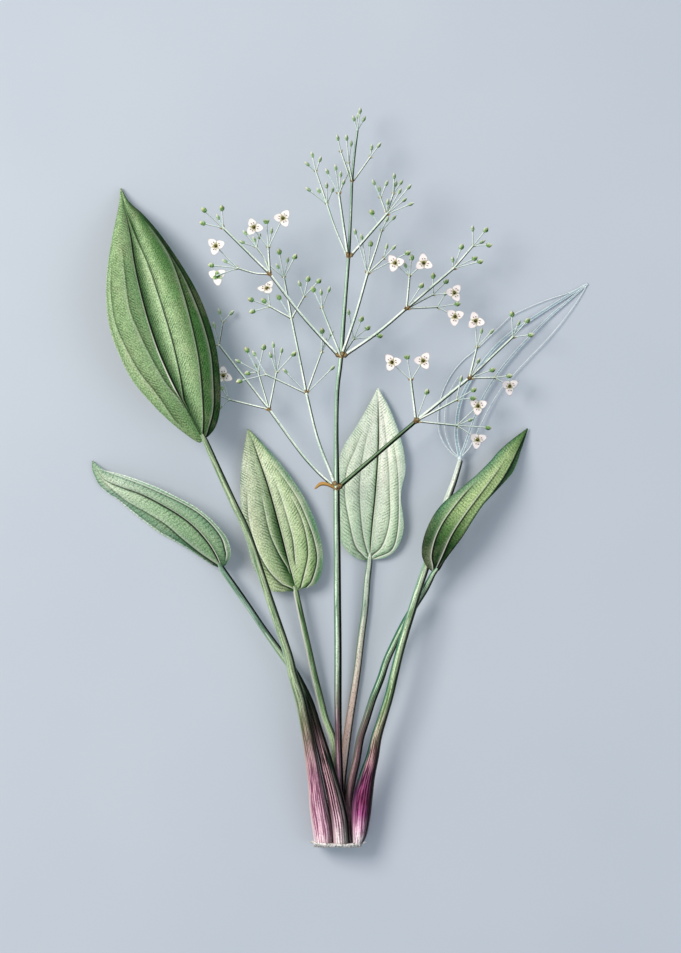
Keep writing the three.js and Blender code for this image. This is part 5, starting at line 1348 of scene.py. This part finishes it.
def open_flower(item):
    skin = Skin()
    facing = facing_of(item)
    middle = np.array(item.at, float)
    lathe(skin, middle, facing, CUP, 16, sepal_skin)
    lathe(skin, middle, facing, FLOWER_MIDDLE, 24, middle_skin, 12, 0.16)
    for third in range(3):
        turn = math.radians(item.turn + 120 * third)
        petal(skin, middle, facing, turn, 0 if item.at[0] < 0 else FLUSH)
        flat_sepal(skin, middle - 0.25 * facing, facing, turn + math.pi / 3)
        for side in (-1, 1):
            stamen(skin, middle, facing, turn + STAMEN_TURN * side)
    skin.piece(item.name)


def sleeve(skin, start, line, radius):
    """The brown sleeve at the foot of a stalk."""
    stations = smooth_line(line[:3], 6)
    stations[:, 3] = radius * SLEEVE_WIDTHS
    way = unit(line[1, :3] - line[0, :3])
    stations[:, :3] = np.array(start) + way * np.linspace(0, SLEEVE_LENGTH, 6)[:, None]
    tube(skin, stations, 12, knot_skin, fine_ribs)


def stalk(skin, item, start):
    """A fork's own stalk, with a knob and bracts where it forks."""
    path = [[*start, 1.2 * item.radius], *([*point, item.radius] for point in item.via),
            [*item.at, item.radius]]
    line = smooth_line(path, 12 + 10 * len(item.via))
    look = green_twig_skin if item.radius >= THICK_TWIG else twig_skin
    tube(skin, line, TWIG_SIDES, look, fine_ribs)
    if item.radius >= SHEATHED:
        sleeve(skin, start, line, item.radius)
    at = np.array(item.at, float)
    along = unit(at - line[-3, :3])
    size = FORK_KNOB * item.radius
    lathe(skin, at, along, KNOB * size, 12, knot_skin if item.radius >= KNOBBED else twig_skin)
    side = unit(np.cross(along, UP))
    for turn in (-0.9, 0.9):
        bract(skin, at + 0.6 * size * turn * side, along + turn * side + 0.3 * UP,
              0.9 + 1.4 * item.radius, 0.25 + 0.35 * item.radius,
              bract_skin if item.radius >= SHEATHED else scale_skin)


def bear(skin, item):
    """All that grows from a fork and has no name of its own."""
    start = np.array(item.at, float)
    for index, child in enumerate(item.bears):
        if isinstance(child, Bud):
            bud(skin, child.kind, start, bud_centre(child, start, index))
        elif isinstance(child, Flower):
            pedicel(skin, start, np.array(child.at) - facing_of(child) * (FLOWER_DEPTH + 0.1))
        elif not child.name:
            stalk(skin, child, start)
            bear(skin, child)


def branch(item, start):
    """A named fork as a piece, and the named ones and the flowers on it."""
    if item.name:
        skin = Skin()
        stalk(skin, item, start)
        bear(skin, item)
        skin.piece(item.name)
    for child in item.bears:
        if isinstance(child, Flower):
            open_flower(child)
        elif isinstance(child, Fork):
            branch(child, item.at)


# The dry leaf and the crown

NET_STEPS = 90
NET_SIDES = 8
NET_RADIUS = 0.3
NET_TAPER = 0.65
NET_FOOT = [[0, 0.9], [0.6, 1.3], [1.4, 1.1], [2.4, 0.4]]
DOUBLED = {2: 1.15, 4: 0.8}  # the lines drawn double, with their share of this half width
RIBBON = 0.62
FILM = 0.12  # half thickness of the film between the two
CROWN = [[-13.6, -182.8, 9.6, 0.7, 3.6], [-11, -183.4, 9.2, 0.9, 6.4], [-6, -183.9, 8.8, 1, 9.1],
    [0, -184.1, 8.8, 1, 9.5], [5, -184, 8.8, 1, 9.1], [9, -183.5, 9.1, 0.9, 6.2],
    [11.4, -183, 9.6, 0.7, 3.4]]
ROOT_STUBS = 260


def net():
    skin = Skin()
    taper = np.linspace(1, NET_TAPER, NET_STEPS)[:, None]
    for index, line in enumerate(NET_LINES):
        path = smooth_line([NET_BASE, *line], NET_STEPS)
        tubes = [(0, NET_RADIUS)]
        if index in DOUBLED:
            half = RIBBON * DOUBLED[index]
            tubes = [(-half, 0.8 * NET_RADIUS), (half, 0.8 * NET_RADIUS)]
            tube(skin, np.hstack([path, half * taper, FILM + 0 * taper]), NET_SIDES, film_skin)
        side = unit(np.cross(unit(np.gradient(path, axis=0)), UP))
        for aside, radius in tubes:
            tube(skin, np.hstack([path + aside * taper * side, radius * taper, radius * taper]),
                 NET_SIDES, net_skin)
    lathe(skin, np.array(NET_BASE) - [0.3, 0.9, 0], [0.3, 1, 0], NET_FOOT, 14, net_skin)
    skin.piece("leaf_far_right_veins")


def crown():
    skin = Skin()
    stations = smooth_line(CROWN, 60)
    tube(skin, stations, 40, crown_skin, lambda angle, _: 1 + 0.04 * np.sin(9 * angle))
    chance = np.random.default_rng(4)
    lowest = cad_box[0][1] / MM
    for _ in range(ROOT_STUBS):
        share = chance.uniform(0.04, 0.96)
        x, y, z, _, tall = smooth_line(CROWN, shares=[share])[0]
        z += chance.uniform(-0.6, 0.95) * tall
        radius = chance.uniform(0.16, 0.42)
        length = min(chance.uniform(0.8, 2.2), y - 0.5 - radius - lowest)
        foot = [x, y - 0.2, z, radius]
        tip = [x + chance.uniform(-0.6, 0.6), y - 0.3 - length, z + chance.uniform(-0.3, 0.3),
               0.6 * radius]
        tube(skin, smooth_line([foot, tip], 5), 8, root_skin, dome=0.3)
    skin.piece("crown")


flower_stem()
for leaf in LEAVES:
    blade(leaf)
    petiole(leaf.name, leaf.petiole)
net()
petiole("leaf_far_right", NET_PETIOLE)
for start, item in BRANCHES:
    branch(item, start)
crown()

# The surface, the light and the camera, in metres. A light has a place, a size, a power and a
# colour.

FLOOR = 3.0
CAMERA_HEIGHT = 5.0
SENSOR = 36  # mm
PICTURE_HEIGHT = 476.5  # mm that the picture shows from top to bottom
MIDDLE = (0.00025, 0.0005, 0.020)  # what the camera looks down on
KEY_LIGHT = ((-1.0, 0.5, 1.3), 0.9, 23, "fff6ea")
FILL_LIGHT = ((1.2, -0.4, 1.2), 1.4, 5, "eaf1ff")
SKY = ("f0f3f5", 0.56)


def floor():
    half = FLOOR / 2
    mesh = bpy.data.meshes.new("floor")
    mesh.from_pydata([(-half, -half, 0), (half, -half, 0), (half, half, 0), (-half, half, 0)],
                     [], [[0, 1, 2, 3]])
    mesh.materials.append(floor_look())
    made = bpy.data.objects.new("floor", mesh)
    bpy.context.scene.collection.objects.link(made)


def area_light(name, place, size, power, code):
    light = bpy.data.lights.new(name, "AREA")
    light.shape = "DISK"
    light.size = size
    light.energy = power
    light.color = colour(code)[:3]
    made = bpy.data.objects.new(name, light)
    made.location = place
    toward = mathutils.Vector(MIDDLE) - made.location
    made.rotation_euler = toward.to_track_quat("-Z", "Y").to_euler()
    made.visible_camera = False
    bpy.context.scene.collection.objects.link(made)


def world(code, strength):
    made = bpy.data.worlds.new("world")
    made.use_nodes = True
    made.node_tree.nodes["Background"].inputs["Color"].default_value = colour(code)
    made.node_tree.nodes["Background"].inputs["Strength"].default_value = strength
    bpy.context.scene.world = made


def camera():
    lens = bpy.data.cameras.new("camera")
    lens.sensor_width = SENSOR
    lens.sensor_fit = "VERTICAL"
    lens.sensor_height = SENSOR
    lens.lens = SENSOR * CAMERA_HEIGHT * 1000 / PICTURE_HEIGHT
    lens.clip_end = 20
    made = bpy.data.objects.new("camera", lens)
    made.location = (MIDDLE[0], MIDDLE[1], MIDDLE[2] + CAMERA_HEIGHT)
    bpy.context.scene.collection.objects.link(made)
    bpy.context.scene.camera = made


floor()
area_light("key", *KEY_LIGHT)
area_light("fill", *FILL_LIGHT)
world(*SKY)
camera()
bpy.context.scene.view_settings.view_transform = "Standard"
